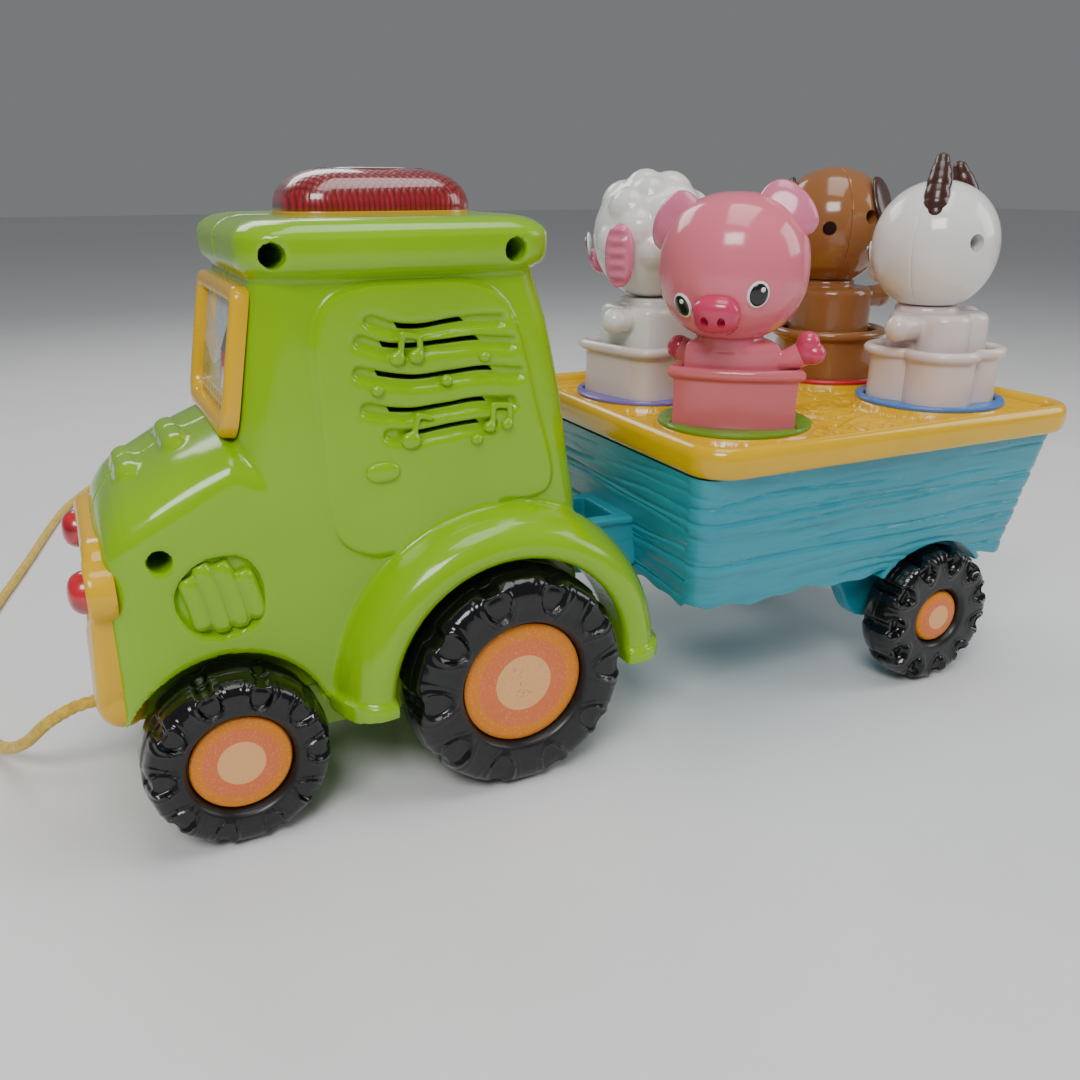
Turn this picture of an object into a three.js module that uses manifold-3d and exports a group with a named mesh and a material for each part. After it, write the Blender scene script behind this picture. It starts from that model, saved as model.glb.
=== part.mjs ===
// Pull-along toy tractor with a trailer of four lift-out animal figures.
// Millimetres. +X is the way the tractor is pulled, +Y is its left side, +Z is up, and the floor is z = 0. The lengths
// below are drawn from a line near the toy's middle. The group is then moved by MIDDLE, so that the middle of the toy
// without its pull cord is x = y = 0.
import * as THREE from "three";
import { mergeVertices } from "three/addons/utils/BufferGeometryUtils.js";
import Module from "manifold-3d";

const wasm = await Module();
wasm.setup();

// ---- Driving dimensions ----
const GAP = 0.3; // between neighbouring pieces
const WALL = 2.4; // moulded shells
const FLATNESS = 0.12; // faces that are flat to this are drawn as one
const HALF_WIDTH = 38.5; // cab and hood sides
const BODY_BOTTOM = 36;

const REAR = { x: 46.2, r: 36, face: 58.7, width: 24, label: 19.7, segments: 24 };
const FRONT = { x: 131.9, r: 26.75, face: 51.8, width: 21.9, label: 14.4, segments: 20 };
const TRAILER = { x: -125.4, r: 26.9, face: 62.4, width: 16, label: 10.1, segments: 20 };
const AXLE_R = 2;
const AXLE_CLEARANCE = 0.08; // running fit of an axle in its bearings

const ROOF = { x: 72.5, halfX: 45, halfY: 43, corner: 12, bottom: 159.5, top: 174.4 };
const BEACON = { x: 70, halfX: 28.5, halfY: 17, top: 187, flange: 170.3, travel: 1.8 }; // travel is its press
const FENDER = { inner: 39.5, outer: 55, face: 53.3, bottom: 34.5, drop: 1 }; // drop: its centre below the hub
const PANEL_PROUD = 1.4;
const SCREEN = { x: 122.2, z: 137, halfY: 33, halfZ: 21, thick: 4.6, tilt: 0.175 };
const NOSE_X = 161.3; // front face of the hood
const LAMP = { y: 29.3, z: 78.2, housing: 8.8, lens: 6.2, tip: 169.5 };
const SCREWS = [[109.2, 165.4], [41.4, 165.4], [145.7, 86.6]]; // x, z of the body screws

const TRAY = { x0: 18, x1: 152.5, halfY: 26.5, bottom: 20 };
const BATTERY = { r: 5.25, pitch: 12.5, x: 84, z: 29 };
const HITCH = { x: 28, r: 2.6, top: 75 };

const TUB = { front: -11.5, rear: -170.8, bottom: 46, top: 96, frontTaper: 6.5, rearTaper: 4.6, halfTop: 65,
  halfBottom: 55 };
const RIM = { x0: -174.5, x1: -9.7, halfY: 70.3, corner: 13, bottom: 96.4, top: 106.6 };
const DECK = { floor: 100.4, collar: 104.2, ring: 105.6, well: 89 };
const MIDDLE = (LAMP.tip + RIM.x0) / 2;

// One lift-out figure in each corner of the deck: its place, peg outline and size, the way that its peg and its face
// look, how far its body stands off the middle of its cup, and its head.
const FIGURES = {
  pig: { x: -47.8, y: 29, peg: "triangle", r: 24, turn: 52, face: 40, collar: 26.5, off: [1.8, -0.5],
    head: [24.6, 24.6, 23.8], headAt: [4, 0], headZ: 156.6, colour: 0xf2a0b4, ring: 0x6aa52c },
  goat: { x: -140, y: 29, peg: "clover", r: 23.4, turn: 281, face: 281, collar: 27.3, off: [0, 0],
    head: [22.6, 22.6, 23.4], headAt: [1.2, -5.4], headZ: 160.6, colour: 0xf4efe8, ring: 0x3d7fc4 },
  dog: { x: -138, y: -29, peg: "circle", r: 21.5, turn: 254, face: 254, collar: 26.5, off: [0, 0],
    head: [23, 23, 23.2], headAt: [3.2, 0], headZ: 165.8, colour: 0xb9793f, ring: 0xc8243a },
  sheep: { x: -47.8, y: -29, peg: "square", r: 21.5, turn: 12, face: 298, collar: 27.8, off: [0, 0],
    head: [24.2, 24.2, 24.4], headAt: [0, 0], headZ: 163.7, colour: 0xf3efe6, ring: 0x6d5cb0 },
};
const CUP = { bottom: 91.2, rimTop: 125, wall: 1.8 };
const PEG_SCALE = 0.79; // a figure's body against its cup
const BODY_FLOOR = 95;
const SHOULDER = 132;

const CORD_R = 2;
const BEAD_R = 8;
const CORD_ROUTE = [
  [167.6, 0, 31], [174, -1, 29.5], [182, -5, 24], [190, -14, 14], [198, -30, 5.5], [205, -50, 2.2],
  [210, -75, 2.1], [212, -105, 2.1], [210, -140, 2.1], [204, -174, 2.1], [197, -205, 2.1], [190, -237, 2.1],
  [182, -275, 2.1], [173, -312, 2.1], [160, -342, 3.2], [143, -362, 7.2],
];

const PLASTIC = { lime: 0xa4cf12, yellow: 0xf2bd00, teal: 0x2fa9bd, black: 0x14151a, red: 0xb3101f };

const toy = new THREE.Group();
toy.name = "toy_tractor";
toy.position.x = -MIDDLE;

// ---- Solids ----

function solid(source) {
  const bare = source.index ? source.toNonIndexed() : source.clone();
  bare.deleteAttribute("normal");
  bare.deleteAttribute("uv");
  const merged = mergeVertices(bare, 1e-4);
  const corners = merged.index.array;
  const kept = [];
  for (let i = 0; i < corners.length; i += 3) {
    const [a, b, c] = corners.slice(i, i + 3);
    if (a !== b && b !== c && c !== a) kept.push(a, b, c);
  }
  const build = (triangles) =>
    new wasm.Manifold(
      new wasm.Mesh({
        numProp: 3,
        vertProperties: merged.attributes.position.array,
        triVerts: new Uint32Array(triangles),
      }),
    );
  const made = build(kept);
  return made.volume() > 0 ? made : build(kept.reverse());
}

const join = (...pieces) => pieces.flat().reduce((a, b) => a.add(b));
const cut = (from, ...tools) => tools.flat().reduce((a, b) => a.subtract(b), from);

function surfaceOf(made) {
  const mesh = made.getMesh();
  const positions = new Float32Array(mesh.numVert * 3);
  for (let i = 0; i < mesh.numVert; i++)
    positions.set(mesh.vertProperties.subarray(i * mesh.numProp, i * mesh.numProp + 3), i * 3);
  const geometry = new THREE.BufferGeometry();
  geometry.setAttribute("position", new THREE.BufferAttribute(positions, 3));
  geometry.setIndex(new THREE.BufferAttribute(mesh.triVerts, 1));
  const flat = geometry.toNonIndexed();
  flat.computeVertexNormals();
  return flat;
}

function place(name, shape, colour, options = {}) {
  const { roughness = 0.3, metalness = 0, at = [0, 0, 0] } = options;
  const geometry = shape.isBufferGeometry ? shape : surfaceOf(shape.asOriginal().simplify(FLATNESS));
  const mesh = new THREE.Mesh(geometry, new THREE.MeshStandardMaterial({ color: colour, roughness, metalness }));
  mesh.name = name;
  mesh.position.set(...at);
  toy.add(mesh);
}

function box(x0, x1, y0, y1, z0, z1) {
  const geometry = new THREE.BoxGeometry(x1 - x0, y1 - y0, z1 - z0);
  return solid(geometry.translate((x0 + x1) / 2, (y0 + y1) / 2, (z0 + z1) / 2));
}

// A cylinder along X, Y or Z through (x, y, z), which is the middle of its length.
function rod(along, radius, length, [x, y, z], segments = 24) {
  const geometry = new THREE.CylinderGeometry(radius, radius, length, segments);
  if (along === "x") geometry.rotateZ(Math.PI / 2);
  if (along === "z") geometry.rotateX(Math.PI / 2);
  return solid(geometry.translate(x, y, z));
}

function ellipsoid([rx, ry, rz], [x, y, z], columns = 16, rows = 10) {
  const geometry = new THREE.SphereGeometry(1, columns, rows).rotateX(Math.PI / 2);
  return solid(geometry.scale(rx, ry, rz).translate(x, y, z));
}

// A skin over rings of points that all have the same count, closed by a fan at each end.
function loft(rings) {
  const positions = [];
  const middle = (ring) => ring.reduce((sum, p) => sum.add(p), new THREE.Vector3()).divideScalar(ring.length);
  const triangle = (...points) => points.forEach((p) => positions.push(p.x, p.y, p.z));
  const count = rings[0].length;
  const first = middle(rings[0]);
  const last = middle(rings.at(-1));
  for (let i = 0; i < count; i++) {
    const j = (i + 1) % count;
    triangle(first, rings[0][j], rings[0][i]);
    triangle(last, rings.at(-1)[i], rings.at(-1)[j]);
    for (let k = 0; k + 1 < rings.length; k++) {
      const [a, b, c, d] = [rings[k][i], rings[k][j], rings[k + 1][j], rings[k + 1][i]];
      triangle(a, b, c);
      triangle(a, c, d);
    }
  }
  const geometry = new THREE.BufferGeometry();
  geometry.setAttribute("position", new THREE.Float32BufferAttribute(positions, 3));
  return solid(geometry);
}

// The outline of a rectangle with round corners, anticlockwise.
function roundRect(halfX, halfY, radius, steps = 3) {
  const points = [];
  for (const [quarter, sx, sy] of [[0, 1, 1], [1, -1, 1], [2, -1, -1], [3, 1, -1]])
    for (let i = 0; i <= steps; i++) {
      const angle = ((quarter + i / steps) * Math.PI) / 2;
      points.push([
        sx * (halfX - radius) + radius * Math.cos(angle),
        sy * (halfY - radius) + radius * Math.sin(angle),
      ]);
    }
  return points;
}

const level = (outline, z, x = 0, y = 0) => outline.map(([u, v]) => new THREE.Vector3(x + u, y + v, z));

// A flat outline of [x, z] points made thick from y0 to y1.
function sideSlab(outline, y0, y1) {
  const shape = new THREE.Shape(outline.map(([x, z]) => new THREE.Vector2(x, z)));
  const geometry = new THREE.ExtrudeGeometry(shape, { depth: y1 - y0, bevelEnabled: false });
  return solid(geometry.rotateX(Math.PI / 2).translate(0, y1, 0));
}

// A closed profile of [radius, height] points turned about the Y or Z axis.
function turned(profile, along = "y", segments = 24) {
  const geometry = new THREE.LatheGeometry(profile.map((p) => new THREE.Vector2(...p)), segments);
  if (along === "z") geometry.rotateX(Math.PI / 2);
  return solid(geometry);
}

const mirrored = (made) => {
  const geometry = surfaceOf(made);
  return solid(geometry.applyMatrix4(new THREE.Matrix4().makeScale(1, -1, 1)));
};

const onBothSides = (make) => [1, -1].map(make);

// ---- Tractor body ----

// The cab: level sections of [z, rear x, front x, half width]. inset shrinks it for the hollow inside.
function cab(inset) {
  const sections = [
    [BODY_BOTTOM + 4, 14.5, 118, HALF_WIDTH],
    [86, 16.6, 123.5, HALF_WIDTH],
    [101, 19.2, 122.4, HALF_WIDTH],
    [121, 22, 120.2, HALF_WIDTH],
    [142, 26.2, 116.8, HALF_WIDTH - 0.3],
    [162 - inset, 32.3, 113.8, HALF_WIDTH - 0.8],
  ];
  return loft(
    sections.map(([z, rear, front, half]) => {
      const outline = roundRect((front - rear) / 2 - inset, half - inset, 9 - inset);
      return level(outline, z, (front + rear) / 2);
    }),
  );
}

// The hood and lower body: upright sections of [x, half width, shoulder z, crown z].
function hood(inset) {
  const sections = [
    [14.5 + inset, 30, 60, 80],
    [17 + inset, 34.5, 62, 84],
    [24, HALF_WIDTH, 66, 90],
    [118, HALF_WIDTH, 100, 116],
    [124, HALF_WIDTH, 104, 117.5],
    [131, HALF_WIDTH, 100, 114.8],
    [138, HALF_WIDTH, 95.5, 111.8],
    [146, HALF_WIDTH - 0.1, 91.5, 107.3],
    [152, HALF_WIDTH - 0.7, 88, 104],
    [156.5 - inset / 2, HALF_WIDTH - 2, 85, 100],
    [159.5 - inset, HALF_WIDTH - 4.5, 80, 95.5],
    [NOSE_X - inset, HALF_WIDTH - 9, 74, 89],
  ];
  const crownSteps = 8;
  return loft(
    sections.map(([x, half, shoulder, crown]) => {
      const floor = BODY_BOTTOM - Math.abs(inset);
      const ring = [new THREE.Vector3(x, -(half - inset), floor), new THREE.Vector3(x, half - inset, floor)];
      for (let i = 0; i <= crownSteps; i++) {
        const angle = (i / crownSteps) * Math.PI;
        const across = Math.sign(Math.cos(angle)) * Math.abs(Math.cos(angle)) ** (2 / 3);
        const up = Math.sin(angle) ** (2 / 3);
        ring.push(new THREE.Vector3(x, across * (half - inset), shoulder + up * (crown - shoulder - inset)));
      }
      return ring;
    }),
  );
}

function roof(inset) {
  const { x, halfX, halfY, corner, bottom, top } = ROOF;
  const sections = [[bottom, 4], [bottom + 1.6, 1], [bottom + 4, 0], [top - 5, 0], [top - 2, 1.6], [top, 6.5]];
  return loft(
    sections.map(([z, round]) => {
      const height = Math.min(Math.max(z, bottom + inset), top - inset);
      return level(roundRect(halfX - round - inset, halfY - round - inset, corner - inset), height, x);
    }),
  );
}

const wheelWell = (wheel, room, from) =>
  onBothSides((side) => rod("y", wheel.r + room, 60, [wheel.x, side * (from + 30), wheel.r], 24));

// The round mudguard over a rear wheel, with a lip round each foot.
function fender() {
  const { inner, outer, face, bottom, drop } = FENDER;
  const profile = [
    [inner, 36], [inner, 50.5], [41, 52.4], [44.5, face], [48.5, 51.8], [52, 47.8], [54, 43], [outer, 38],
    [outer, 36], [inner, 36],
  ];
  const lipProfile = [
    [inner, 38.2], [inner, 54.2], [45, 54.8], [50, 52.6], [53.8, 48.2], [55.8, 43.5], [56.8, 38.2], [inner, 38.2],
  ];
  const ringOf = (points) => turned(points, "y", 32).translate([REAR.x, 0, REAR.r - drop]);
  const upper = box(-20, 120, 30, 60, bottom, 120);
  const foot = box(-20, 120, 30, 60, bottom - 3, bottom + 2);
  return ringOf(profile).intersect(upper).add(ringOf(lipProfile).intersect(foot));
}

// The raised door panel: an outline with a curved lower edge that follows the mudguard.
function doorPanel() {
  const outline = [
    [97.6, 90], [98.8, 146], [96, 152], [89, 155.8], [76, 157], [56, 156.6], [46.5, 153.5], [41, 146], [33.5, 118],
    [28.6, 99], [29.4, 93.5], [33.5, 91], [44.5, 91], [54, 89.6], [64, 86.6], [74, 82], [80, 79.4], [87, 80.2],
    [93.5, 83.6],
  ];
  return sideSlab(outline, HALF_WIDTH - 3, HALF_WIDTH + PANEL_PROUD);
}

// Five wavy slots for the sound, each a band between two waves.
function soundSlots() {
  const rows = [[83.4, 46, 145], [87, 42.4, 139.5], [87.8, 40, 130.6], [86.2, 42, 121.6], [80, 49, 114.7]];
  return rows.map(([front, rear, z]) => {
    const steps = 6;
    const wave = (t) => 1.7 * Math.sin((t - 0.1) * 2 * Math.PI) + 2.5 * (t - 0.5);
    const along = (t) => front + (rear - front) * t;
    const lower = [];
    const upper = [];
    for (let i = 0; i <= steps; i++) {
      lower.push([along(i / steps), z + wave(i / steps) - 1.9]);
      upper.unshift([along(i / steps), z + wave(i / steps) + 1.9]);
    }
    return sideSlab([...lower, ...upper], 30, 45);
  });
}

// The recessed side vent: a D on its side.
function ventRecess() {
  const outline = [
    [143.2, 76], [141, 80], [136, 84], [129, 85.6], [123, 83.6], [119.8, 78], [119.6, 68], [122, 64.5], [133, 62.2],
    [139, 65.5], [142.6, 71],
  ];
  return sideSlab(outline, HALF_WIDTH - 1.2, HALF_WIDTH + 5);
}

const screenFrameAt = (made) => {
  const geometry = surfaceOf(made).rotateY(-SCREEN.tilt).translate(SCREEN.x, 0, SCREEN.z);
  return solid(geometry);
};

function makeBody() {
  const outside = join(cab(0), hood(0), roof(0), fender(), mirrored(fender()), doorPanel(), mirrored(doorPanel()));
  const aboveBosses = box(0, 120, -25, 25, BEACON.flange - BEACON.travel - 0.1, 180);
  const bosses = SCREWS.map(([x, z]) => rod("y", 5, 2 * HALF_WIDTH - 1, [x, 0, z], 14).subtract(aboveBosses));
  const lining = [
    ...onBothSides((side) => rod("y", REAR.r + 3.5 + WALL, 20, [REAR.x, side * 41, REAR.r])),
    ...onBothSides((side) => rod("y", FRONT.r + 2.5 + WALL, 20, [FRONT.x, side * 36.6, FRONT.r])),
  ];
  const hollow = cut(join(cab(WALL), hood(WALL), roof(WALL)), lining, bosses);
  const lensHole = roundRect(BEACON.halfX + 0.5, BEACON.halfY + 0.5, 12);
  const beaconHole = loft([150, 190].map((z) => level(lensHole, z, BEACON.x)));
  const tools = [
    hollow,
    wheelWell(REAR, 3.5, 33.5),
    wheelWell(FRONT, 2.5, 29),
    beaconHole,
    rod("y", AXLE_R + 1.2, 90, [REAR.x, 0, REAR.r], 16),
    box(8, 30, -19, 19, BODY_BOTTOM - 1, 74),
  ];
  const whole = cut(outside, tools.flat());
  const half = (y0, y1) => whole.intersect(box(-30, 200, y0, y1, 0, 200));
  const left = cut(
    half(GAP / 2, 80),
    soundSlots(),
    ventRecess(),
    ...SCREWS.map(([x, z]) => rod("y", 3.25, 60, [x, 36, z], 14)),
    ...SCREWS.map(([x, z]) => rod("y", 1.75, 90, [x, 0, z], 10)),
  );
  const right = cut(
    half(-80, -GAP / 2),
    mirrored(ventRecess()),
    ...SCREWS.map(([x, z]) => rod("y", 1.75, 30, [x, -5, z], 10)),
  );
  place("body_left", left, PLASTIC.lime);
  place("body_right", right, PLASTIC.lime);
  SCREWS.forEach(([x, z], i) => {
    const profile = [[0, -16], [1.4, -16], [1.4, 6.4], [2.9, 6.4], [2.9, 8.6], [0, 8.6]];
    const name = "body_screw_" + ["roof_front", "roof_rear", "hood"][i];
    place(name, turned(profile, "y", 10), 0x8c9096, { metalness: 1, at: [x, 0, z] });
  });
}

// The yellow nose: a grille frame that stands further out below, the two lamp housings, the bumper roll and the
// gland of the pull cord.
function makeNose() {
  const middle = 64.5;
  const bulge = (z) => Math.max(0, 70 - z) * 0.09;
  const upright = (outline, x) => outline.map(([u, v]) => new THREE.Vector3(x + bulge(middle + v), u, middle + v));
  const ringOutline = roundRect(33, 26.5, 11, 2);
  const plate = loft([upright(ringOutline, NOSE_X - 4), upright(ringOutline, NOSE_X + 1.4),
    upright(roundRect(31, 24.5, 10, 2), NOSE_X + 3.2)]);
  const recess = loft([1.2, 9].map((deep) => upright(roundRect(26.5, 20, 7, 2), NOSE_X + deep)));
  const bars = [53, 61, 69, 77].map((z) => rod("y", 1.3, 56, [NOSE_X + 1.2 + bulge(z), 0, z], 8));
  const housings = onBothSides((side) => rod("x", LAMP.housing, 8, [NOSE_X - 0.2, side * LAMP.y, LAMP.z], 18));
  const roll = loft([[-32.5, 3.5], [-30, 6], [-25, 7.2], [25, 7.2], [30, 6], [32.5, 3.5]].map(([y, r]) => {
    const ring = [];
    for (let i = 0; i < 12; i++) {
      const angle = (i / 12) * 2 * Math.PI;
      ring.push(new THREE.Vector3(NOSE_X - 1.4 + r * 1.05 * Math.cos(angle), y, 43 + r * 1.25 * Math.sin(angle)));
    }
    return ring;
  }));
  const gland = rod("x", 3.6, 7, [NOSE_X + 2.4, 0, CORD_ROUTE[0][2] + 2.2], 14);
  const seat = NOSE_X + 2.5;
  const seats = onBothSides((side) => rod("x", LAMP.lens + GAP, 4, [seat + 2, side * LAMP.y, LAMP.z], 18));
  const bumper = cut(join(cut(plate, recess), bars, housings, roll, gland), hood(-GAP), seats);
  place("grille_bumper", bumper, PLASTIC.yellow);
  const { lens, tip } = LAMP;
  const base = seat + GAP;
  const dome = [[0, base], [lens, base], [lens, base + 1.2], [5.3, tip - 2], [3.2, tip - 0.6], [0, tip]];
  for (const [name, side] of [["left", 1], ["right", -1]]) {
    const shape = surfaceOf(turned(dome, "y", 18)).rotateZ(-Math.PI / 2);
    place("headlamp_lens_" + name, shape, PLASTIC.red, { at: [0, side * LAMP.y, LAMP.z] });
  }
}

function makeWindscreen() {
  const outline = (grow) => {
    const [hy, hz] = [SCREEN.halfY + grow, SCREEN.halfZ + grow];
    const lower = 9;
    return [
      [-hy + lower, -hz], [hy - lower, -hz], [hy, -hz + lower], [hy, hz - 5], [hy - 1.6, hz - 1.6], [hy - 5, hz],
      [-hy + 5, hz], [-hy + 1.6, hz - 1.6], [-hy, hz - 5], [-hy, -hz + lower],
    ];
  };
  const upright = (x, grow) => outline(grow).map(([y, z]) => new THREE.Vector3(x, y, z));
  const { thick } = SCREEN;
  const block = loft([upright(-thick, 0), upright(-1.6, 0), upright(-0.4, -0.8), upright(0, -2)]);
  const window = loft([upright(-thick - 1, -5.2), upright(1, -4.6)]);
  const frame = cut(screenFrameAt(cut(block, window)), cab(-GAP), roof(-GAP), hood(-GAP));
  place("windscreen_frame", frame, PLASTIC.yellow);
  const card = cut(screenFrameAt(loft([upright(-thick + 0.6, -5.6), upright(-thick + 1.4, -5.6)])), cab(-GAP));
  place("windscreen_card", card, 0xd8d4cc, { roughness: 0.5 });
}

function makeBeacon() {
  const { x, halfX, halfY, top, flange } = BEACON;
  const outline = (shrink) => roundRect(halfX - shrink, halfY - shrink, Math.max(12 - shrink / 2, 4));
  const shell = (t) => {
    const sections = [
      [0, flange + 0.7], [0, 177.5], [1.6, 181.5 - t / 2], [4.6, 184.6 - t * 0.8], [9, 186.4 - t], [13, top - t],
    ];
    return loft(sections.map(([shrink, z]) => level(outline(t + shrink), z, x)));
  };
  const rim = loft([flange, flange + 1.4].map((z) => level(roundRect(halfX + 2, halfY + 2, 13), z, x)));
  const open = level(outline(2), 160, x);
  const lens = cut(join(rim, shell(0)), shell(2), loft([open, level(outline(2), flange + 1, x)]));
  const bridge = box(x - halfX - 1.5, x + halfX + 1.5, -3.5, 3.5, flange, flange + 1.4);
  place("beacon_lens", join(lens, bridge), PLASTIC.red, { roughness: 0.15 });
  const plunger = join(rod("z", 4.5, 2, [x, 0, flange - 1.3], 16), rod("z", 2, 12, [x, 0, flange - 7.5], 12));
  place("beacon_plunger", plunger, 0xf2f2ee);

  const turns = 4.5;
  const [from, to] = [151.4, BEACON.flange - 2.9];
  const helix = new (class extends THREE.Curve {
    getPoint(t, target = new THREE.Vector3()) {
      const angle = t * turns * 2 * Math.PI;
      return target.set(x + 3.4 * Math.cos(angle), 3.4 * Math.sin(angle), from + t * (to - from));
    }
  })();
  const wire = new THREE.Shape().absarc(0, 0, 0.35, 0, 2 * Math.PI);
  const swept = { steps: 36, extrudePath: helix, curveSegments: 2, bevelEnabled: false };
  place("beacon_spring", solid(new THREE.ExtrudeGeometry(wire, swept)), 0xb8bcc2, { metalness: 1 });

  const board = join(box(x - 24, x + 24, -20, 20, 148, 149.6), rod("z", 4.4, 1.8, [x, 0, 150.2], 16));
  const posts = onBothSides((side) => box(x - 4, x + 4, side * 20 - 1.2, side * 20 + 1.2, 147, 149));
  place("circuit_board", cut(board, rod("z", 2.4, 8, [x, 0, 150], 12), posts), 0x2a6b3c, { roughness: 0.6 });
  const lamp = turned([[0, 0], [2.9, 0], [2.9, 4.5], [2.2, 6.4], [0, 7.2]], "z", 14);
  place("beacon_led", lamp, 0xf0e6d0, { at: [x + 15, 0, 150] });
}

function makeSpeaker() {
  const profile = [[0, 19], [9, 19], [9, 26], [18, 33.4], [18, 34.6], [16.4, 34.6], [6, 30], [0, 31]];
  place("speaker", turned(profile, "y", 16), 0x1c1c1e, { at: [66, 0, 122], roughness: 0.7 });
}

// ---- Base: a tray under the body for the axles and the batteries ----

function makeBase() {
  const { x0, x1, halfY, bottom } = TRAY;
  const flangeTop = BODY_BOTTOM - GAP;
  const flange = box(19, 153.5, -35.6, 35.6, flangeTop - 2.2, flangeTop);
  const tray = box(x0, x1, -halfY, halfY, bottom, flangeTop);
  const hollow = box(x0 + WALL, x1 - WALL, -halfY + WALL, halfY - WALL, bottom + WALL, 60);
  const hitchBoss = rod("z", 5.5, 15.6, [HITCH.x, 0, bottom + 7.8], 16);
  const bearing = (wheel) => onBothSides((side) =>
    box(wheel.x - 6, wheel.x + 6, side * (halfY - 1.2) - 1.2, side * (halfY - 1.2) + 1.2, bottom + 1, wheel.r + 6));
  const doorway = box(56, 113, -22, 22, bottom - 1, bottom + WALL + 1);
  const screwBoss = rod("z", 4, 8, [116.5, 0, bottom + 6], 14);
  const pinBore = rod("z", HITCH.r + AXLE_CLEARANCE, 80, [HITCH.x, 0, 40], 16);
  const base = cut(
    join(cut(join(flange, tray), hollow), hitchBoss, bearing(REAR), bearing(FRONT), screwBoss),
    doorway,
    box(112, 121, -5, 5, bottom - 1, bottom + WALL - 0.4),
    pinBore,
    rod("z", 1.5, 40, [116.5, 0, 25], 10),
    rod("y", AXLE_R + AXLE_CLEARANCE, 90, [REAR.x, 0, REAR.r], 16),
    rod("y", AXLE_R + AXLE_CLEARANCE, 90, [FRONT.x, 0, FRONT.r], 16),
    wheelWell(REAR, 2.5, 30.5),
    wheelWell(FRONT, 1.8, 28),
    box(138, 146, -7, 7, bottom - 1, bottom + WALL + 1),
    box(33, 60, -40, 40, flangeTop - 0.1, 60),
  );
  place("base_plate", base, PLASTIC.lime, { roughness: 0.45 });

  const pin = turned([[0, bottom + 4], [HITCH.r, bottom + 4], [HITCH.r, HITCH.top], [0, HITCH.top]], "z", 16);
  place("hitch_pin", pin, 0xb8bcc2, { metalness: 1, at: [HITCH.x, 0, 0] });
  const doorTop = bottom + 1.6;
  const door = join(box(56.3, 112.7, -21.7, 21.7, bottom, doorTop), box(112.5, 120.7, -4.7, 4.7, bottom, doorTop));
  const doorHole = rod("z", 2, 8, [116.5, 0, bottom], 12);
  place("battery_door", cut(door, doorHole), PLASTIC.lime, { roughness: 0.45 });
  const screw = turned([[0, 0.3], [1.7, 0.3], [1.7, 1.5], [1.2, 1.5], [1.2, 9], [0, 9]], "z", 10);
  place("battery_door_screw", screw, 0x8c9096, { metalness: 1, at: [116.5, 0, bottom] });
  const top = bottom + WALL + 0.4;
  const slider = join(box(138.6, 145.4, -2.6, 2.6, bottom - 1, top), box(137, 147, -4.5, 4.5, top, bottom + 4.4));
  place("power_switch", slider, PLASTIC.black);
  [-1, 0, 1].forEach((row, i) => {
    const { r, pitch, x, z } = BATTERY;
    const cell = turned([[0, -22.25], [r, -22.25], [r, 21], [1.9, 21], [1.9, 22.25], [0, 22.25]], "y", 14);
    const lying = surfaceOf(cell).rotateZ(row === 0 ? Math.PI / 2 : -Math.PI / 2);
    place("battery_" + (i + 1), lying, 0xc98a2b, { metalness: 0.4, at: [x, row * pitch, z] });
  });
}

// ---- Wheels ----

function makeWheelset(set, wheel) {
  const { r, width, label, face, segments } = wheel;
  const seat = width - 4.2;
  const bore = AXLE_R + GAP;
  const profile = [
    [bore, 2], [r * 0.6, 1], [r * 0.86, 0.6], [r * 0.96, 3.6], [r, 7], [r, width - 7], [r * 0.96, width - 3.6],
    [r * 0.86, width - 0.5], [r * 0.74, width], [label + 1.4, width - 1.7], [label + 0.4, seat], [bore, seat],
    [bore, 2],
  ];
  const crown = seat + 1.5 + (wheel === TRAILER ? 2.2 : 0);
  const disc = [[0, seat + GAP], [label, seat + GAP], [label, seat + 1.5], [label * 0.6, crown], [0, crown]];
  for (const [name, side] of [["left", 1], ["right", -1]]) {
    const turnRound = (made) => {
      const geometry = surfaceOf(made);
      return side > 0 ? geometry : geometry.rotateX(Math.PI);
    };
    const at = [wheel.x, side * (face - width), r];
    place(set + "_wheel_" + name, turnRound(turned(profile, "y", segments)), PLASTIC.black, { at });
    place(set + "_hub_disc_" + name, turnRound(turned(disc, "y", 16)), 0xe8912a, { at, roughness: 0.5 });
  }
  const half = face - width + seat - 0.1;
  const axle = turned([[0, -half], [AXLE_R, -half], [AXLE_R, half], [0, half]], "y", 12);
  place(set + "_axle", axle, 0xb8bcc2, { metalness: 1, at: [wheel.x, 0, r] });
}

// ---- Trailer ----

function tubForm(inset) {
  const { front, rear, bottom, top, frontTaper, rearTaper, halfTop, halfBottom } = TUB;
  const section = (z, share) => {
    const x1 = front - frontTaper * (1 - share) - inset;
    const x0 = rear + rearTaper * (1 - share) + inset;
    const half = halfBottom + (halfTop - halfBottom) * share - inset;
    return level(roundRect((x1 - x0) / 2, half, 9 - inset / 2), z, (x0 + x1) / 2);
  };
  return loft([section(bottom + inset * 1.05, 0), section(top - GAP + (inset ? 5 : 0), 1)]);
}

// A flat outline of [x, y] points made thick from z0 to z1.
function planSlab(outline, z0, z1) {
  const shape = new THREE.Shape(outline.map(([x, y]) => new THREE.Vector2(x, y)));
  const geometry = new THREE.ExtrudeGeometry(shape, { depth: z1 - z0, bevelEnabled: false });
  return solid(geometry.translate(0, 0, z0));
}

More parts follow.
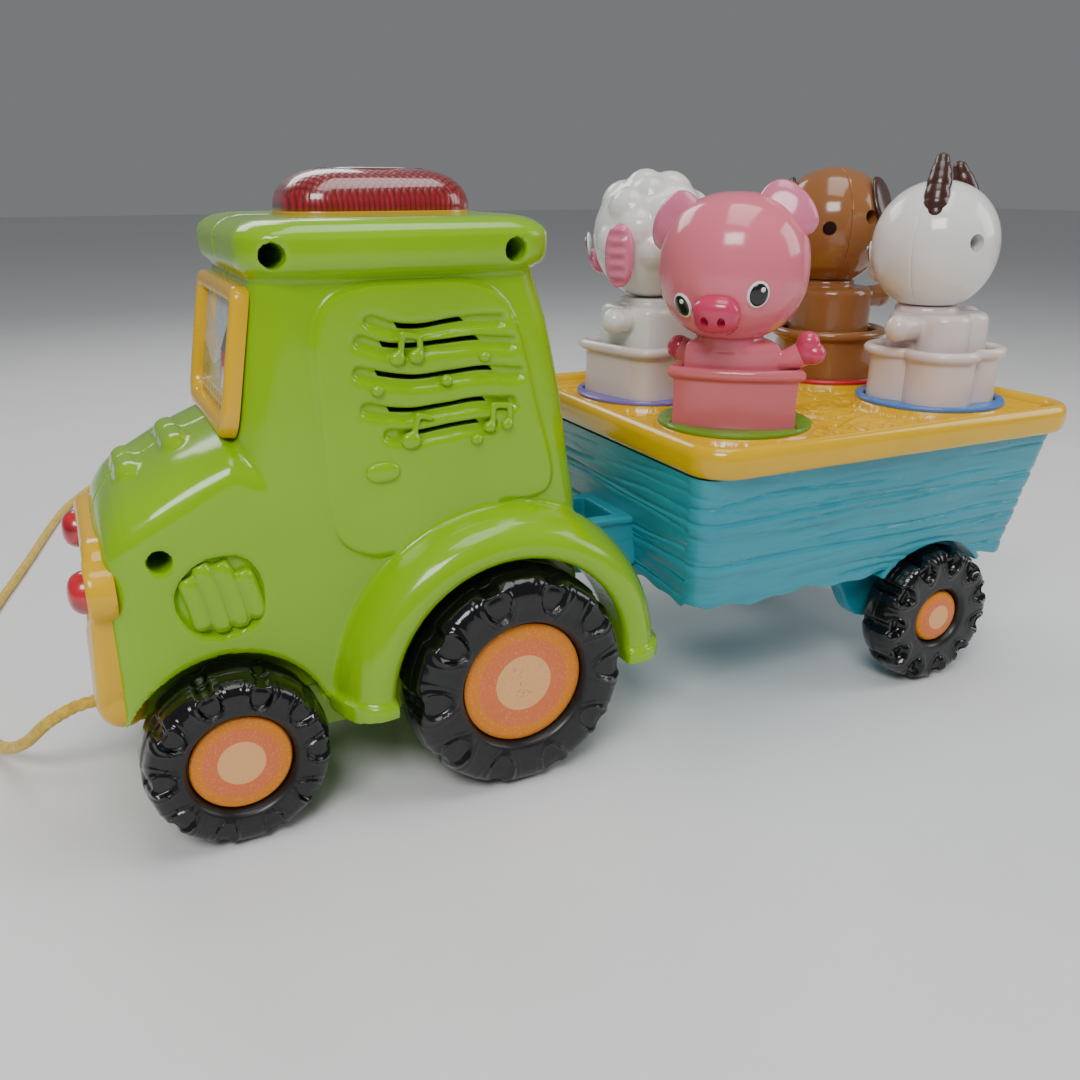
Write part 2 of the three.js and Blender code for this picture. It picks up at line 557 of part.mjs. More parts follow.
function makeTrailer() {
  const { x, r } = TRAILER;
  const wellLining = onBothSides((side) => rod("y", r + 2.2 + WALL, 30, [x, side * 57, r]));
  const carrier = sideSlab([[x - 27, 50], [x - 20, 23], [x + 22, 23], [x + 31, 36], [x + 38, 50]], 35, 41.6);
  const eye = Array.from({ length: 9 }, (_, i) => {
    const angle = -2.1 + (i / 8) * 4.2;
    return [HITCH.x + 7.5 * Math.cos(angle), 7.5 * Math.sin(angle)];
  });
  const drawbar = planSlab([[-18, -16], [6, -15], ...eye, [6, 15], [-18, 16]], 51, 70);
  const gap = planSlab([[-10.5, -11], [4.5, -10], [15.5, 0], [4.5, 10], [-10.5, 11]], 40, 80);
  const tub = cut(
    join(cut(tubForm(0), cut(tubForm(WALL), wellLining)), carrier, mirrored(carrier), drawbar),
    gap,
    wheelWell(TRAILER, 2.2, 44.4),
    rod("z", HITCH.r + AXLE_CLEARANCE, 80, [HITCH.x, 0, 60], 16),
    rod("y", AXLE_R + AXLE_CLEARANCE, 100, [x, 0, r], 16),
  );
  place("trailer_tub", tub, PLASTIC.teal);

  const { x0, x1, halfY, corner, bottom, top } = RIM;
  const middle = (x0 + x1) / 2;
  const rimAt = ([z, shrink]) =>
    level(roundRect((x1 - x0) / 2 - shrink, halfY - shrink, corner - shrink / 2), z, middle);
  const tube = [[bottom, 2.2], [bottom + 1.6, 0.5], [bottom + 4, 0], [top - 3.6, 0.4], [top - 1.2, 2], [top, 4.8]];
  const outer = loft(tube.map(rimAt));
  const pocket = loft([[DECK.floor, 9.5], [top - 1.4, 8.4], [top + 1, 6.5]].map(rimAt));
  const under = loft([[bottom - 1, 8.2], [bottom + 1.6, 8.2]].map(rimAt));
  const insideRim = loft([[DECK.floor, 9.9], [top, 9.9]].map(rimAt));
  const peg = (figure, grow, z0, z1) =>
    loft([z0, z1].map((z) => level(pegOutline(figure, figure.r + grow), z, figure.x, figure.y)));
  const disc = (figure, radius, z0, z1) => rod("z", radius, z1 - z0, [figure.x, figure.y, (z0 + z1) / 2], 28);
  const figures = Object.values(FIGURES);
  const wells = figures.map((f) => peg(f, 2.6, DECK.well, DECK.floor));
  const collars = figures.map((f) => disc(f, f.collar + 0.8, DECK.floor - 1, DECK.collar));
  const holes = figures.map((f) => peg(f, 0.9, DECK.well + 1.8, 130));
  place("trailer_deck", cut(join(cut(outer, pocket, under), wells, collars), holes), PLASTIC.yellow);
  for (const [name, figure] of Object.entries(FIGURES)) {
    const ring = disc(figure, figure.collar, DECK.collar + GAP, DECK.ring).intersect(insideRim);
    place("socket_ring_" + figure.peg, cut(ring, peg(figure, 0.9, 90, 130)), figure.ring);
    makeFigure(name, figure);
  }
}

// ---- Figures ----

// The outline of a peg, [x, y] about its own middle: one of four shapes, turned to face the figure's way.
function pegOutline(figure, r) {
  const count = figure.peg === "clover" ? 20 : 18;
  const turn = THREE.MathUtils.degToRad(figure.turn);
  const reach = {
    circle: () => r,
    square: (a) => (r * 0.93) / (Math.abs(Math.cos(a)) ** 5 + Math.abs(Math.sin(a)) ** 5) ** 0.2,
    triangle: (a) => {
      const off = ((a + Math.PI * 4) % ((2 * Math.PI) / 3)) - Math.PI / 3;
      return (r * 0.68) / (0.62 * Math.cos(Math.PI / 3 - Math.abs(off)) + 0.38);
    },
    clover: (a) => {
      const off = ((a + Math.PI * 4) % (Math.PI / 2)) - Math.PI / 4;
      const lobe = r * 0.46;
      return lobe * Math.cos(off) + Math.sqrt((r - lobe) ** 2 - (lobe * Math.sin(off)) ** 2);
    },
  }[figure.peg];
  return Array.from({ length: count }, (_, i) => {
    const a = (i / count) * 2 * Math.PI;
    return [reach(a) * Math.cos(a + turn), reach(a) * Math.sin(a + turn)];
  });
}

function makeFigure(name, figure) {
  const { x, y, r, off, head, headAt, headZ, colour } = figure;
  const ring = (radius, z) => level(pegOutline(figure, radius), z, x, y);
  const { bottom, rimTop, wall } = CUP;
  const outside = loft([ring(r - 0.6, bottom), ring(r, bottom + 1), ring(r, rimTop - 4), ring(r + 2.2, rimTop - 3.2),
    ring(r + 2.6, rimTop - 1.4), ring(r + 1, rimTop)]);
  const inside = loft([ring(r - wall, bottom + wall), ring(r - wall, rimTop + 1)]);
  place("cup_" + name, cut(outside, inside), colour);

  const [bodyX, bodyY] = [x + off[0], y + off[1]];
  const [headX, headY] = [x + headAt[0], y + headAt[1]];
  const small = r * PEG_SCALE;
  const bodyRing = (radius, z) => level(pegOutline(figure, radius), z, bodyX, bodyY);
  const seam = Math.max(headZ - head[2] + 1.6, SHOULDER + GAP);
  const torso = loft([bodyRing(small, BODY_FLOOR), bodyRing(small, SHOULDER - 1.6), bodyRing(small - 1.6, SHOULDER)]);
  const above = box(x - 40, x + 40, y - 40, y + 40, seam - GAP, 200);
  const neckRoom = seam - SHOULDER;
  const neck = neckRoom > 1.5 ? [rod("z", 11, neckRoom + 4, [headX, headY, seam - neckRoom / 2], 16)] : [];
  const facing = THREE.MathUtils.degToRad(figure.face);
  const arms = onBothSides((side) => {
    const angle = facing + (side * Math.PI) / 2;
    const raised = name === "pig" && side > 0 ? 2.5 : 0;
    const along = (out) => [bodyX + out * Math.cos(angle), bodyY + out * Math.sin(angle)];
    const hand = ellipsoid([5.2, 5.2, 4.6], [...along(22), 130 + raised], 8, 5);
    return hand.add(rod("z", 5, 5, [...along(15.5), 128], 8));
  });
  place("body_" + name, join(cut(join(torso, neck), above), arms), colour);
  const skull = ellipsoid(head, [headX, headY, headZ], 14, 9);
  const below = box(x - 40, x + 40, y - 40, y + 40, 100, seam);
  place("head_" + name, join(cut(skull, below), headTrim(name, figure, [headX, headY])), colour);
}

// Ears, snout and horns, set round the head by their bearing from the way it looks.
function headTrim(name, figure, [x, y]) {
  const { head, headZ } = figure;
  const facing = THREE.MathUtils.degToRad(figure.face);
  const spot = (bearing, out, z) => {
    const angle = facing + THREE.MathUtils.degToRad(bearing);
    return [x + out * head[0] * Math.cos(angle), y + out * head[1] * Math.sin(angle), z];
  };
  if (name === "pig") {
    const ears = [62, -62].map((b) => ellipsoid([7, 7, 8.5], spot(b, 0.86, headZ + 15), 8, 5));
    return [...ears, ellipsoid([6, 6, 5.5], spot(0, 0.96, headZ - 8), 8, 5)];
  }
  if (name === "goat") return [25, -25].map((b) => ellipsoid([3.4, 3.4, 9], spot(b, 0.42, headZ + 24.5), 6, 6));
  if (name === "dog") return [80, -80].map((b) => ellipsoid([5, 5, 10], spot(b, 0.9, headZ + 5), 8, 5));
  return [90, -90].map((b) => ellipsoid([4.5, 4.5, 11], spot(b, 0.98, headZ - 1), 8, 5));
}

// ---- Pull cord ----

function makeCord() {
  const points = CORD_ROUTE.map((p) => new THREE.Vector3(...p));
  const path = new THREE.CatmullRomCurve3(points, false, "centripetal");
  const section = new THREE.Shape().absarc(0, 0, CORD_R, 0, 2 * Math.PI);
  const swept = { steps: 44, extrudePath: path, curveSegments: 4, bevelEnabled: false };
  place("pull_cord", solid(new THREE.ExtrudeGeometry(section, swept)), 0xe0b420, { roughness: 0.8 });
  const end = path.getPoint(1);
  const turn = new THREE.Quaternion().setFromUnitVectors(new THREE.Vector3(0, 1, 0), path.getTangent(1));
  const profile = [[0, GAP], [2.6, GAP], [5.6, 2.2], [7.6, 5.4], [BEAD_R, 8.3], [7.6, 11.2], [5.6, 14.4], [2.6, 16.3],
    [0, 16.6]];
  const bead = surfaceOf(turned(profile, "y", 14)).applyQuaternion(turn).translate(end.x, end.y, end.z);
  place("cord_bead", bead, PLASTIC.yellow);
}

makeBody();
makeNose();
makeWindscreen();
makeBeacon();
makeSpeaker();
makeBase();
makeWheelset("front", FRONT);
makeWheelset("rear", REAR);
makeWheelset("trailer", TRAILER);
makeTrailer();
makeCord();

export default toy;
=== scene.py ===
"""A pull-along toy tractor and its trailer of lift-out animal figures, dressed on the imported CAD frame.

Shapes are drawn in millimetres in the CAD program's own drawing frame. settle() sets them down in metres,
SHIFT further along +X.
"""
import math

import bmesh
import bpy
import numpy as np
from mathutils import Matrix, Vector


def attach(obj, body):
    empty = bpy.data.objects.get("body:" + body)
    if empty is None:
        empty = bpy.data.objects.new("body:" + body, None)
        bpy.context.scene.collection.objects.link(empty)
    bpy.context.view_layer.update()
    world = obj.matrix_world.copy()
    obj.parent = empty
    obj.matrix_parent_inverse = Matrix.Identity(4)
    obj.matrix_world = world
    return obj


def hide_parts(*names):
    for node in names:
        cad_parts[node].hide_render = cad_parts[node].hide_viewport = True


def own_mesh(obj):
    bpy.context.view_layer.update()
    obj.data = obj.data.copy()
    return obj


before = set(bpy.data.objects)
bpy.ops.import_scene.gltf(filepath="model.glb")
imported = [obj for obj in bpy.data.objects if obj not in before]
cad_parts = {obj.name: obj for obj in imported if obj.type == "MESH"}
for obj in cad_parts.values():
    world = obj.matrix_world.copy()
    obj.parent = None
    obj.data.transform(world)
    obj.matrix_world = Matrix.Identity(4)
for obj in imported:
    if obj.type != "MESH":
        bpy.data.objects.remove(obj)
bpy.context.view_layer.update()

SHIFT = 2.5  # from the drawing's zero line to the middle of the toy
COARSE = 1.0
rng = np.random.default_rng(7)
scene = bpy.context.scene

WALL = 2.4
NOSE_X = 161.3
REAR = dict(x=46.2, r=36.0, face=58.7, width=24.0, label=19.7)
FRONT = dict(x=131.9, r=26.75, face=51.8, width=21.9, label=14.4)
TRAILER = dict(x=-125.4, r=26.9, face=62.4, width=16.0, label=10.1)
LAMP = dict(y=29.3, z=78.2, housing=8.8, lens=6.2, tip=169.5)
SCREWS = [(109.2, 165.4), (41.4, 165.4), (145.7, 86.6)]
ROOF = dict(x=72.5, hx=45.0, hy=43.0, corner=12.0, bottom=159.5, top=174.4)
BEACON = dict(x=70.0, hx=28.5, hy=17.0, flange=170.3, top=187.0)
TUB = dict(front=-11.5, rear=-170.8, bottom=46.0, top=96.0, tf=6.5, tr=4.6, half_top=65.0, half_bottom=55.0)
RIM = dict(x0=-174.5, x1=-9.7, hy=70.3, corner=13.0, bottom=96.4, top=106.6)
DECK = dict(floor=100.4, collar=104.2, ring=105.6, well=89.0)
FIGURES = {
    "pig": dict(x=-47.8, y=29, peg="triangle", r=24, turn=52, face=42, collar=26.5, off=(1.8, -0.5),
                head=(24.6, 23.8), at=(4, 0), z=156.6, shoulder=133.2),
    "goat": dict(x=-140, y=29, peg="clover", r=23.4, turn=281, face=281, collar=27.3, off=(0, 0),
                 head=(22.6, 23.4), at=(1.2, -5.4), z=160.6, shoulder=137.4),
    "dog": dict(x=-138, y=-29, peg="circle", r=21.5, turn=254, face=254, collar=26.5, off=(0, 0),
                head=(23, 23.2), at=(3.2, 0), z=165.8, shoulder=141.8),
    "sheep": dict(x=-47.8, y=-29, peg="square", r=21.5, turn=12, face=298, collar=27.8, off=(0, 0),
                  head=(24.2, 24.4), at=(0, 0), z=163.7, shoulder=139.0),
}
CORD_ROUTE = [
    (167.6, 0, 31), (174, -1, 29.5), (182, -5, 24), (190, -14, 14), (198, -30, 5.5), (205, -50, 2.2),
    (210, -75, 2.1), (212, -105, 2.1), (210, -140, 2.1), (204, -174, 2.1), (197, -205, 2.1), (190, -237, 2.1),
    (182, -275, 2.1), (173, -312, 2.1), (160, -342, 3.2), (143, -362, 7.2),
]
CORD_R = 2.0

# ---- Meshes ----


def piece(name, verts, faces):
    mesh = bpy.data.meshes.new(name)
    mesh.from_pydata(np.asarray(verts, float).tolist(), [], [list(map(int, f)) for f in faces])
    bm = bmesh.new()
    bm.from_mesh(mesh)
    bmesh.ops.remove_doubles(bm, verts=bm.verts, dist=1e-5)
    bmesh.ops.recalc_face_normals(bm, faces=bm.faces)
    bm.to_mesh(mesh)
    bm.free()
    made = bpy.data.objects.new(name, mesh)
    scene.collection.objects.link(made)
    return made


def loft(name, rings, ends=True, around=False):
    """A skin over rings of points, closed by fans at its ends, or joined last to first."""
    rings = np.asarray(rings, float)
    n, m = rings.shape[:2]
    index = np.arange(n * m).reshape(n, m)
    if around:
        index = np.vstack([index, index[:1]])
    near, far = index[:-1], index[1:]
    quads = np.stack([near, np.roll(near, -1, 1), np.roll(far, -1, 1), far], -1).reshape(-1, 4).tolist()
    verts = rings.reshape(-1, 3)
    if ends and not around:
        verts = np.vstack([verts, rings[0].mean(0), rings[-1].mean(0)])
        for ring, tip in ((index[0], n * m), (index[-1], n * m + 1)):
            quads += [[a, b, tip] for a, b in zip(ring, np.roll(ring, -1))]
    return piece(name, verts, quads)


def lathe(name, profile, along="y", segments=96, at=(0, 0, 0), side=1):
    """[radius, height] points turned about an axis; side -1 turns the heights the other way."""
    profile = np.asarray(profile, float)
    angle = np.linspace(0, 2 * math.pi, segments, endpoint=False)
    c, s = np.cos(angle), np.sin(angle)
    rings = []
    for r, h in profile:
        flat = np.full(segments, h * side)
        ring = {"y": (r * c, flat, r * s), "z": (r * c, r * s, flat), "x": (flat, r * c, r * s)}[along]
        rings.append(np.stack(ring, -1) + at)
    return loft(name, rings)


def rounded(hx, hy, radius, steps=8):
    points = []
    for quarter, sx, sy in ((0, 1, 1), (1, -1, 1), (2, -1, -1), (3, 1, -1)):
        for i in range(steps + 1):
            angle = (quarter + i / steps) * math.pi / 2
            points.append((sx * (hx - radius) + radius * math.cos(angle),
                           sy * (hy - radius) + radius * math.sin(angle)))
    return np.array(points)


def level(outline, z, x=0.0, y=0.0):
    outline = np.asarray(outline, float)
    return np.column_stack([outline[:, 0] + x, outline[:, 1] + y, np.full(len(outline), z)])


def side_slab(name, outline, y0, y1):
    outline = np.asarray(outline, float)
    return loft(name,
                [np.column_stack([outline[:, 0], np.full(len(outline), y), outline[:, 1]]) for y in (y0, y1)])


def block(name, x0, x1, y0, y1, z0, z1):
    return loft(name, [level([(x0, y0), (x1, y0), (x1, y1), (x0, y1)], z) for z in (z0, z1)])


def rod(name, along, radius, length, centre, segments=48):
    return lathe(name, [(0.01, -length / 2), (radius, -length / 2), (radius, length / 2), (0.01, length / 2)],
                 along, segments, centre)


def ball(name, radii, centre, spin=None, segments=48, power=2.0):
    """An ellipsoid; spin is a rotation matrix, and a power over 2 squares its shape."""
    rows = segments // 2
    verts = []
    for i in range(rows + 1):
        v = math.pi * i / rows - math.pi / 2
        for j in range(segments):
            u = 2 * math.pi * j / segments
            p = np.array([math.cos(v) * math.cos(u), math.cos(v) * math.sin(u), math.sin(v)])
            p /= (np.abs(p) ** power).sum() ** (1 / power)
            verts.append(p * radii)
    verts = np.array(verts)
    if spin is not None:
        verts = verts @ np.array(spin.to_3x3()).T
    return loft(name, (verts + np.asarray(centre, float)).reshape(rows + 1, segments, 3), ends=False)


def smooth_path(points, per=12, closed=False):
    """A centripetal Catmull-Rom curve through points, with per steps to each span."""
    points = [np.asarray(p, float) for p in points]
    if closed:
        points = [points[-1]] + points + points[:2]
    else:
        points = [2 * points[0] - points[1]] + points + [2 * points[-1] - points[-2]]
    made = []
    for a, b, c, d in zip(points, points[1:], points[2:], points[3:]):
        t1 = np.linalg.norm(b - a) ** 0.5
        t2 = t1 + np.linalg.norm(c - b) ** 0.5
        t3 = t2 + np.linalg.norm(d - c) ** 0.5
        for t in np.linspace(t1, t2, per, endpoint=False):
            ab = a + (b - a) * t / t1
            bc = b + (c - b) * (t - t1) / (t2 - t1)
            cd = c + (d - c) * (t - t2) / (t3 - t2)
            left, right = ab + (bc - ab) * t / t2, bc + (cd - bc) * (t - t1) / (t3 - t1)
            made.append(left + (right - left) * (t - t1) / (t2 - t1))
    if not closed:
        made.append(points[-2])
    return np.array(made)


def tube(name, points, radius, sides=20, shape=None):
    """A tube along points; radius is one number or one for each point, shape(angle, i) scales it."""
    points = np.asarray(points, float)
    radius = np.broadcast_to(np.asarray(radius, float), (len(points),))
    ways = np.gradient(points, axis=0)
    ways /= np.linalg.norm(ways, axis=1)[:, None]
    up = np.array([0.0, 0.0, 1.0]) if abs(ways[0][2]) < 0.9 else np.array([1.0, 0.0, 0.0])
    angle = np.linspace(0, 2 * math.pi, sides, endpoint=False)
    rings = []
    for i, (p, way) in enumerate(zip(points, ways)):
        across = np.cross(up, way)
        across /= np.linalg.norm(across)
        up = np.cross(way, across)
        scale = radius[i] * (shape(angle, i) if shape else 1)
        rings.append(p + np.outer(scale * np.cos(angle), across) + np.outer(scale * np.sin(angle), up))
    return loft(name, rings)


def bake(obj):
    """Applies the modifiers of a piece."""
    bpy.context.view_layer.update()
    made = bpy.data.meshes.new_from_object(obj.evaluated_get(bpy.context.evaluated_depsgraph_get()))
    old = obj.data
    obj.modifiers.clear()
    obj.data = made
    bpy.data.meshes.remove(old)
    return obj


def boolean(obj, others, operation="DIFFERENCE"):
    if not others:
        return obj
    group = bpy.data.collections.new("tools")
    for other in others:
        group.objects.link(other)
    step = obj.modifiers.new("cut", "BOOLEAN")
    step.operation, step.solver, step.operand_type, step.collection = operation, "EXACT", "COLLECTION", group
    step.use_self = operation == "UNION"
    bake(obj)
    for other in others:
        drop(other)
    bpy.data.collections.remove(group)
    return obj


def drop(obj):
    mesh = obj.data
    bpy.data.objects.remove(obj)
    bpy.data.meshes.remove(mesh)


def merge(name, parts):
    """Parts as one mesh, still crossing each other, for melt() to join."""
    verts, faces = [], []
    for part in parts:
        start = len(verts)
        verts += [tuple(v.co) for v in part.data.vertices]
        faces += [[start + i for i in p.vertices] for p in part.data.polygons]
        drop(part)
    mesh = bpy.data.meshes.new(name)
    mesh.from_pydata(verts, [], faces)
    made = bpy.data.objects.new(name, mesh)
    scene.collection.objects.link(made)
    return made


def melt(obj, voxel, rounds):
    """Joins crossing parts into one skin, and rounds its edges as a mould does."""
    step = obj.modifiers.new("skin", "REMESH")
    step.mode, step.voxel_size, step.use_smooth_shade = "VOXEL", voxel * COARSE, True
    step = obj.modifiers.new("soft", "SMOOTH")
    step.factor, step.iterations = 0.5, rounds
    return bake(obj)


def points_of(obj):
    verts = np.empty(len(obj.data.vertices) * 3)
    obj.data.vertices.foreach_get("co", verts)
    return verts.reshape(-1, 3)


def move_points(obj, verts):
    obj.data.vertices.foreach_set("co", np.asarray(verts, float).ravel())
    obj.data.update()


def mirror(obj, name):
    verts = points_of(obj) * (1, -1, 1)
    return piece(name, verts, [p.vertices for p in obj.data.polygons])


def settle(obj, body, materials, replaces=(), facet=35):
    """Sets a finished piece down in metres, on its body, with its materials."""
    obj.data.transform(Matrix.Scale(0.001, 4) @ Matrix.Translation((SHIFT, 0, 0)))
    obj.data.materials.clear()
    for material in materials if isinstance(materials, (list, tuple)) else [materials]:
        obj.data.materials.append(material)
    obj.data.polygons.foreach_set("use_smooth", [True] * len(obj.data.polygons))
    if facet:
        obj.data.set_sharp_from_angle(angle=math.radians(facet))
    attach(obj, body)
    if replaces:
        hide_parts(*replaces)
    return obj


# ---- Materials ----


class Nodes:
    """A short way to write a material's nodes."""

    def __init__(self, name):
        self.material = bpy.data.materials.new(name)
        self.material.use_nodes = True
        self.tree = self.material.node_tree
        self.shader = self.tree.nodes["Principled BSDF"]

    def add(self, kind, inputs=(), **settings):
        node = self.tree.nodes.new(kind)
        for key, value in settings.items():
            setattr(node, key, value)
        for key, value in dict(inputs).items():
            self.feed(node.inputs[key], value)
        return node

    def feed(self, socket, value):
        if isinstance(value, bpy.types.NodeSocket):
            self.tree.links.new(value, socket)
        else:
            socket.default_value = value

    def set(self, **inputs):
        for key, value in inputs.items():
            self.feed(self.shader.inputs[key.replace("_", " ").title().replace("Ior", "IOR")], value)

    def place(self):
        return self.add("ShaderNodeTexCoord").outputs["Object"]

    def noise(self, scale, detail=3.0, rough=0.5, vector=None, distortion=0.0):
        inputs = {"Scale": scale, "Detail": detail, "Roughness": rough, "Distortion": distortion}
        inputs["Vector"] = vector or self.place()
        return self.add("ShaderNodeTexNoise", inputs).outputs["Fac"]

    def ramp(self, value, stops, mode="LINEAR"):
        node = self.add("ShaderNodeValToRGB", {"Fac": value})
        node.color_ramp.interpolation = mode
        while len(node.color_ramp.elements) < len(stops):
            node.color_ramp.elements.new(0.5)
        for element, (at, colour) in zip(node.color_ramp.elements, stops):
            element.position = at
            element.color = (*colour, 1) if len(colour) == 3 else colour
        return node.outputs["Color"]

    def math(self, operation, a, b=0.5, clamp=False):
        return self.add("ShaderNodeMath", {0: a, 1: b}, operation=operation, use_clamp=clamp).outputs[0]

    def span(self, value, low, high, to_low=0.0, to_high=1.0):
        inputs = {"Value": value, "From Min": low, "From Max": high, "To Min": to_low, "To Max": to_high}
        return self.add("ShaderNodeMapRange", inputs).outputs[0]

    def mix(self, fac, a, b):
        node = self.add("ShaderNodeMix", data_type="RGBA")
        self.feed(node.inputs[0], fac)
        self.feed(node.inputs[6], (*a, 1) if isinstance(a, tuple) and len(a) == 3 else a)
        self.feed(node.inputs[7], (*b, 1) if isinstance(b, tuple) and len(b) == 3 else b)
        return node.outputs[2]

    def bump(self, height, strength=0.2, distance=0.0002):
        inputs = {"Height": height, "Strength": strength, "Distance": distance}
        return self.add("ShaderNodeBump", inputs).outputs["Normal"]

    def distance_to(self, point):
        inputs = {0: self.place(), 1: point}
        return self.add("ShaderNodeVectorMath", inputs, operation="DISTANCE").outputs["Value"]


def darker(colour, by):
    return tuple(c * by for c in colour)


def plastic(name, colour, rough=0.16, shift=0.9, peel=0.06, coat=0.2, scuffs=(), grime=0.25):
    """Glossy moulded plastic: flow marks in the colour, handling haze in the gloss, fine orange peel."""
    n = Nodes(name)
    flow = n.span(n.noise(22, 2), 0.3, 0.7)
    base = n.mix(flow, darker(colour, shift), colour)
    specks = n.ramp(n.noise(900, 2, 0.7), [(0.0, (0, 0, 0)), (0.745, (0, 0, 0)), (0.8, (1, 1, 1))])
    base = n.mix(n.math("MULTIPLY", specks, grime), base, darker(colour, 0.55))
    for point, radius in scuffs:
        near = n.span(n.distance_to(point), radius * 0.55, radius, 1.0, 0.0)
        torn = n.span(n.noise(420, 4, 0.75, distortion=1.5), 0.54, 0.6)
        base = n.mix(n.math("MULTIPLY", near, torn), base, (0.05, 0.06, 0.02))
    haze = n.span(n.noise(38, 5, 0.62), 0.35, 0.75, rough * 0.75, rough * 1.55)
    hairs = n.ramp(n.noise(160, 2, 0.5, distortion=6.0),
                   [(0.49, (0, 0, 0)), (0.5, (1, 1, 1)), (0.51, (0, 0, 0))])
    n.set(base_color=base, roughness=n.math("ADD", haze, n.math("MULTIPLY", hairs, 0.06)),
          normal=n.bump(n.noise(700, 2), peel), coat_weight=coat, coat_roughness=0.06)
    return n.material


def metal(name, colour=(0.6, 0.6, 0.62), rough=0.28):
    n = Nodes(name)
    grain = n.noise(800, 3, 0.6)
    n.set(base_color=n.mix(grain, darker(colour, 0.75), colour), metallic=1.0,
          roughness=n.span(grain, 0.3, 0.7, rough * 0.7, rough * 1.4), normal=n.bump(grain, 0.15))
    return n.material


def red_lens(name, grid, colour=(0.42, 0.004, 0.014)):
    """Clear red plastic over a moulded grid of prisms, with painted shade deep in the colour where the cells
    are low and painted glints where they are high.
    """
    n = Nodes(name)
    place = n.place()
    if grid:
        parts = n.add("ShaderNodeSeparateXYZ", {0: place})
        u = n.math("MULTIPLY", n.math("ADD", parts.outputs[0], parts.outputs[1]), 1450.0)
        v = n.math("MULTIPLY", n.math("SUBTRACT", parts.outputs[0], parts.outputs[1]), 1450.0)
        su, sv = n.math("ABSOLUTE", n.math("SINE", u)), n.math("ABSOLUTE", n.math("SINE", v))
        prism = n.math("MULTIPLY", su, sv)
        ribs = n.math("ABSOLUTE", n.math("SINE", n.math("MULTIPLY", parts.outputs[0], 2050.0)))
        low = n.span(parts.outputs[2], 0.1785, 0.1805, 1.0, 0.0)
        cells = n.add("ShaderNodeMix", {0: low, 2: prism, 3: ribs}).outputs[0]
    else:
        cells = n.add("ShaderNodeTexVoronoi", {"Vector": place, "Scale": 160.0}).outputs["Distance"]
    # Painted glints: bright spots on the high parts of the cells, broken up by noise.
    glint_noise = n.noise(260, 3, 0.7)
    painted_glints = n.math("MULTIPLY", n.span(cells, 0.78, 0.99), n.span(glint_noise, 0.45, 0.75, 0.06, 0.7))
    # Painted shade: the colour darkens to a quarter of itself where the cells are low.
    base = n.mix(n.span(cells, 0.0, 0.6), darker(colour, 0.25), colour)
    base = n.mix(painted_glints, base, (0.80, 0.03, 0.05) if grid else colour)
    n.set(base_color=base, roughness=0.3, normal=n.bump(cells, 0.3 if grid else 0.05, 0.0003),
          coat_weight=1.0, coat_roughness=0.03, specular_ior_level=0.6)
    return n.material


def label(name, centre, radius, bands, wear):
    """A printed disc: rings of colour with fine painted glints, rubbed through where it is worn."""
    n = Nodes(name)
    place = n.place()
    parts = n.add("ShaderNodeSeparateXYZ", {0: place})
    dx = n.math("SUBTRACT", parts.outputs[0], centre[0])
    dz = n.math("SUBTRACT", parts.outputs[2], centre[1])
    far = n.math("SQRT", n.math("ADD", n.math("MULTIPLY", dx, dx), n.math("MULTIPLY", dz, dz)))
    colour = n.ramp(n.math("DIVIDE", far, radius), bands, "CONSTANT")
    glint_cells = n.add("ShaderNodeTexVoronoi", {"Vector": place, "Scale": 2600.0}).outputs["Color"]
    painted_glint = n.add("ShaderNodeSeparateColor", {0: glint_cells}).outputs[0]
    # Painted glints: the brightest cells are lightened towards a warm white.
    colour = n.mix(n.span(painted_glint, 0.8, 1.0, 0.0, 0.16), colour, (1.0, 0.8, 0.5))
    if wear:
        rub = n.span(n.noise(330, 6, 0.72, distortion=2.0), 0.57, 0.63)
        middle = n.span(far, radius * 0.15, radius * 0.5, 1.0, 0.0)
        colour = n.mix(n.math("MULTIPLY", rub, n.math("MULTIPLY", middle, 0.75)), colour, (0.18, 0.11, 0.07))
    n.set(base_color=colour, roughness=n.span(painted_glint, 0.0, 1.0, 0.34, 0.6), normal=n.bump(painted_glint, 0.12, 0.0001))
    return n.material


def tyre_plastic(name, centre, radius, matte_from):
    """Black plastic, polished on the shoulder and dull round the label."""
    n = Nodes(name)
    parts = n.add("ShaderNodeSeparateXYZ", {0: n.place()})
    dx = n.math("SUBTRACT", parts.outputs[0], centre[0])
    dz = n.math("SUBTRACT", parts.outputs[2], centre[1])
    far = n.math("SQRT", n.math("ADD", n.math("MULTIPLY", dx, dx), n.math("MULTIPLY", dz, dz)))
    dust = n.noise(120, 5, 0.7)
    base = n.mix(n.span(dust, 0.5, 0.85), (0.003, 0.0032, 0.004), (0.012, 0.012, 0.013))
    dull = n.span(far, radius * matte_from, radius * (matte_from + 0.06), 0.40, 0.12)
    haze = n.math("MULTIPLY", n.span(dust, 0.3, 0.8, -0.3, 1.0), 0.10)
    n.set(base_color=base, roughness=n.math("ADD", dull, haze), normal=n.bump(n.noise(900, 2), 0.08),
          coat_weight=0.15, coat_roughness=0.1)
    return n.material


def wood_look(name, colour):
    """Teal plastic with moulded wood grain, finer than the grooves in the mesh."""
    n = Nodes(name)
    stretch = n.add("ShaderNodeMapping", {"Vector": n.place(), "Scale": (26, 26, 260)}).outputs[0]
    grain = n.noise(1.0, 5, 0.65, stretch, 0.8)
    flow = n.span(n.noise(20, 2), 0.3, 0.7)
    base = n.mix(flow, darker(colour, 0.86), colour)
    base = n.mix(n.span(grain, 0.35, 0.5, 0.35, 0.0), base, darker(colour, 0.55))
    n.set(base_color=base, roughness=n.span(n.noise(60, 4), 0.3, 0.7, 0.26, 0.42),
          normal=n.bump(grain, 0.35, 0.0004), coat_weight=0.15, coat_roughness=0.2)
    return n.material


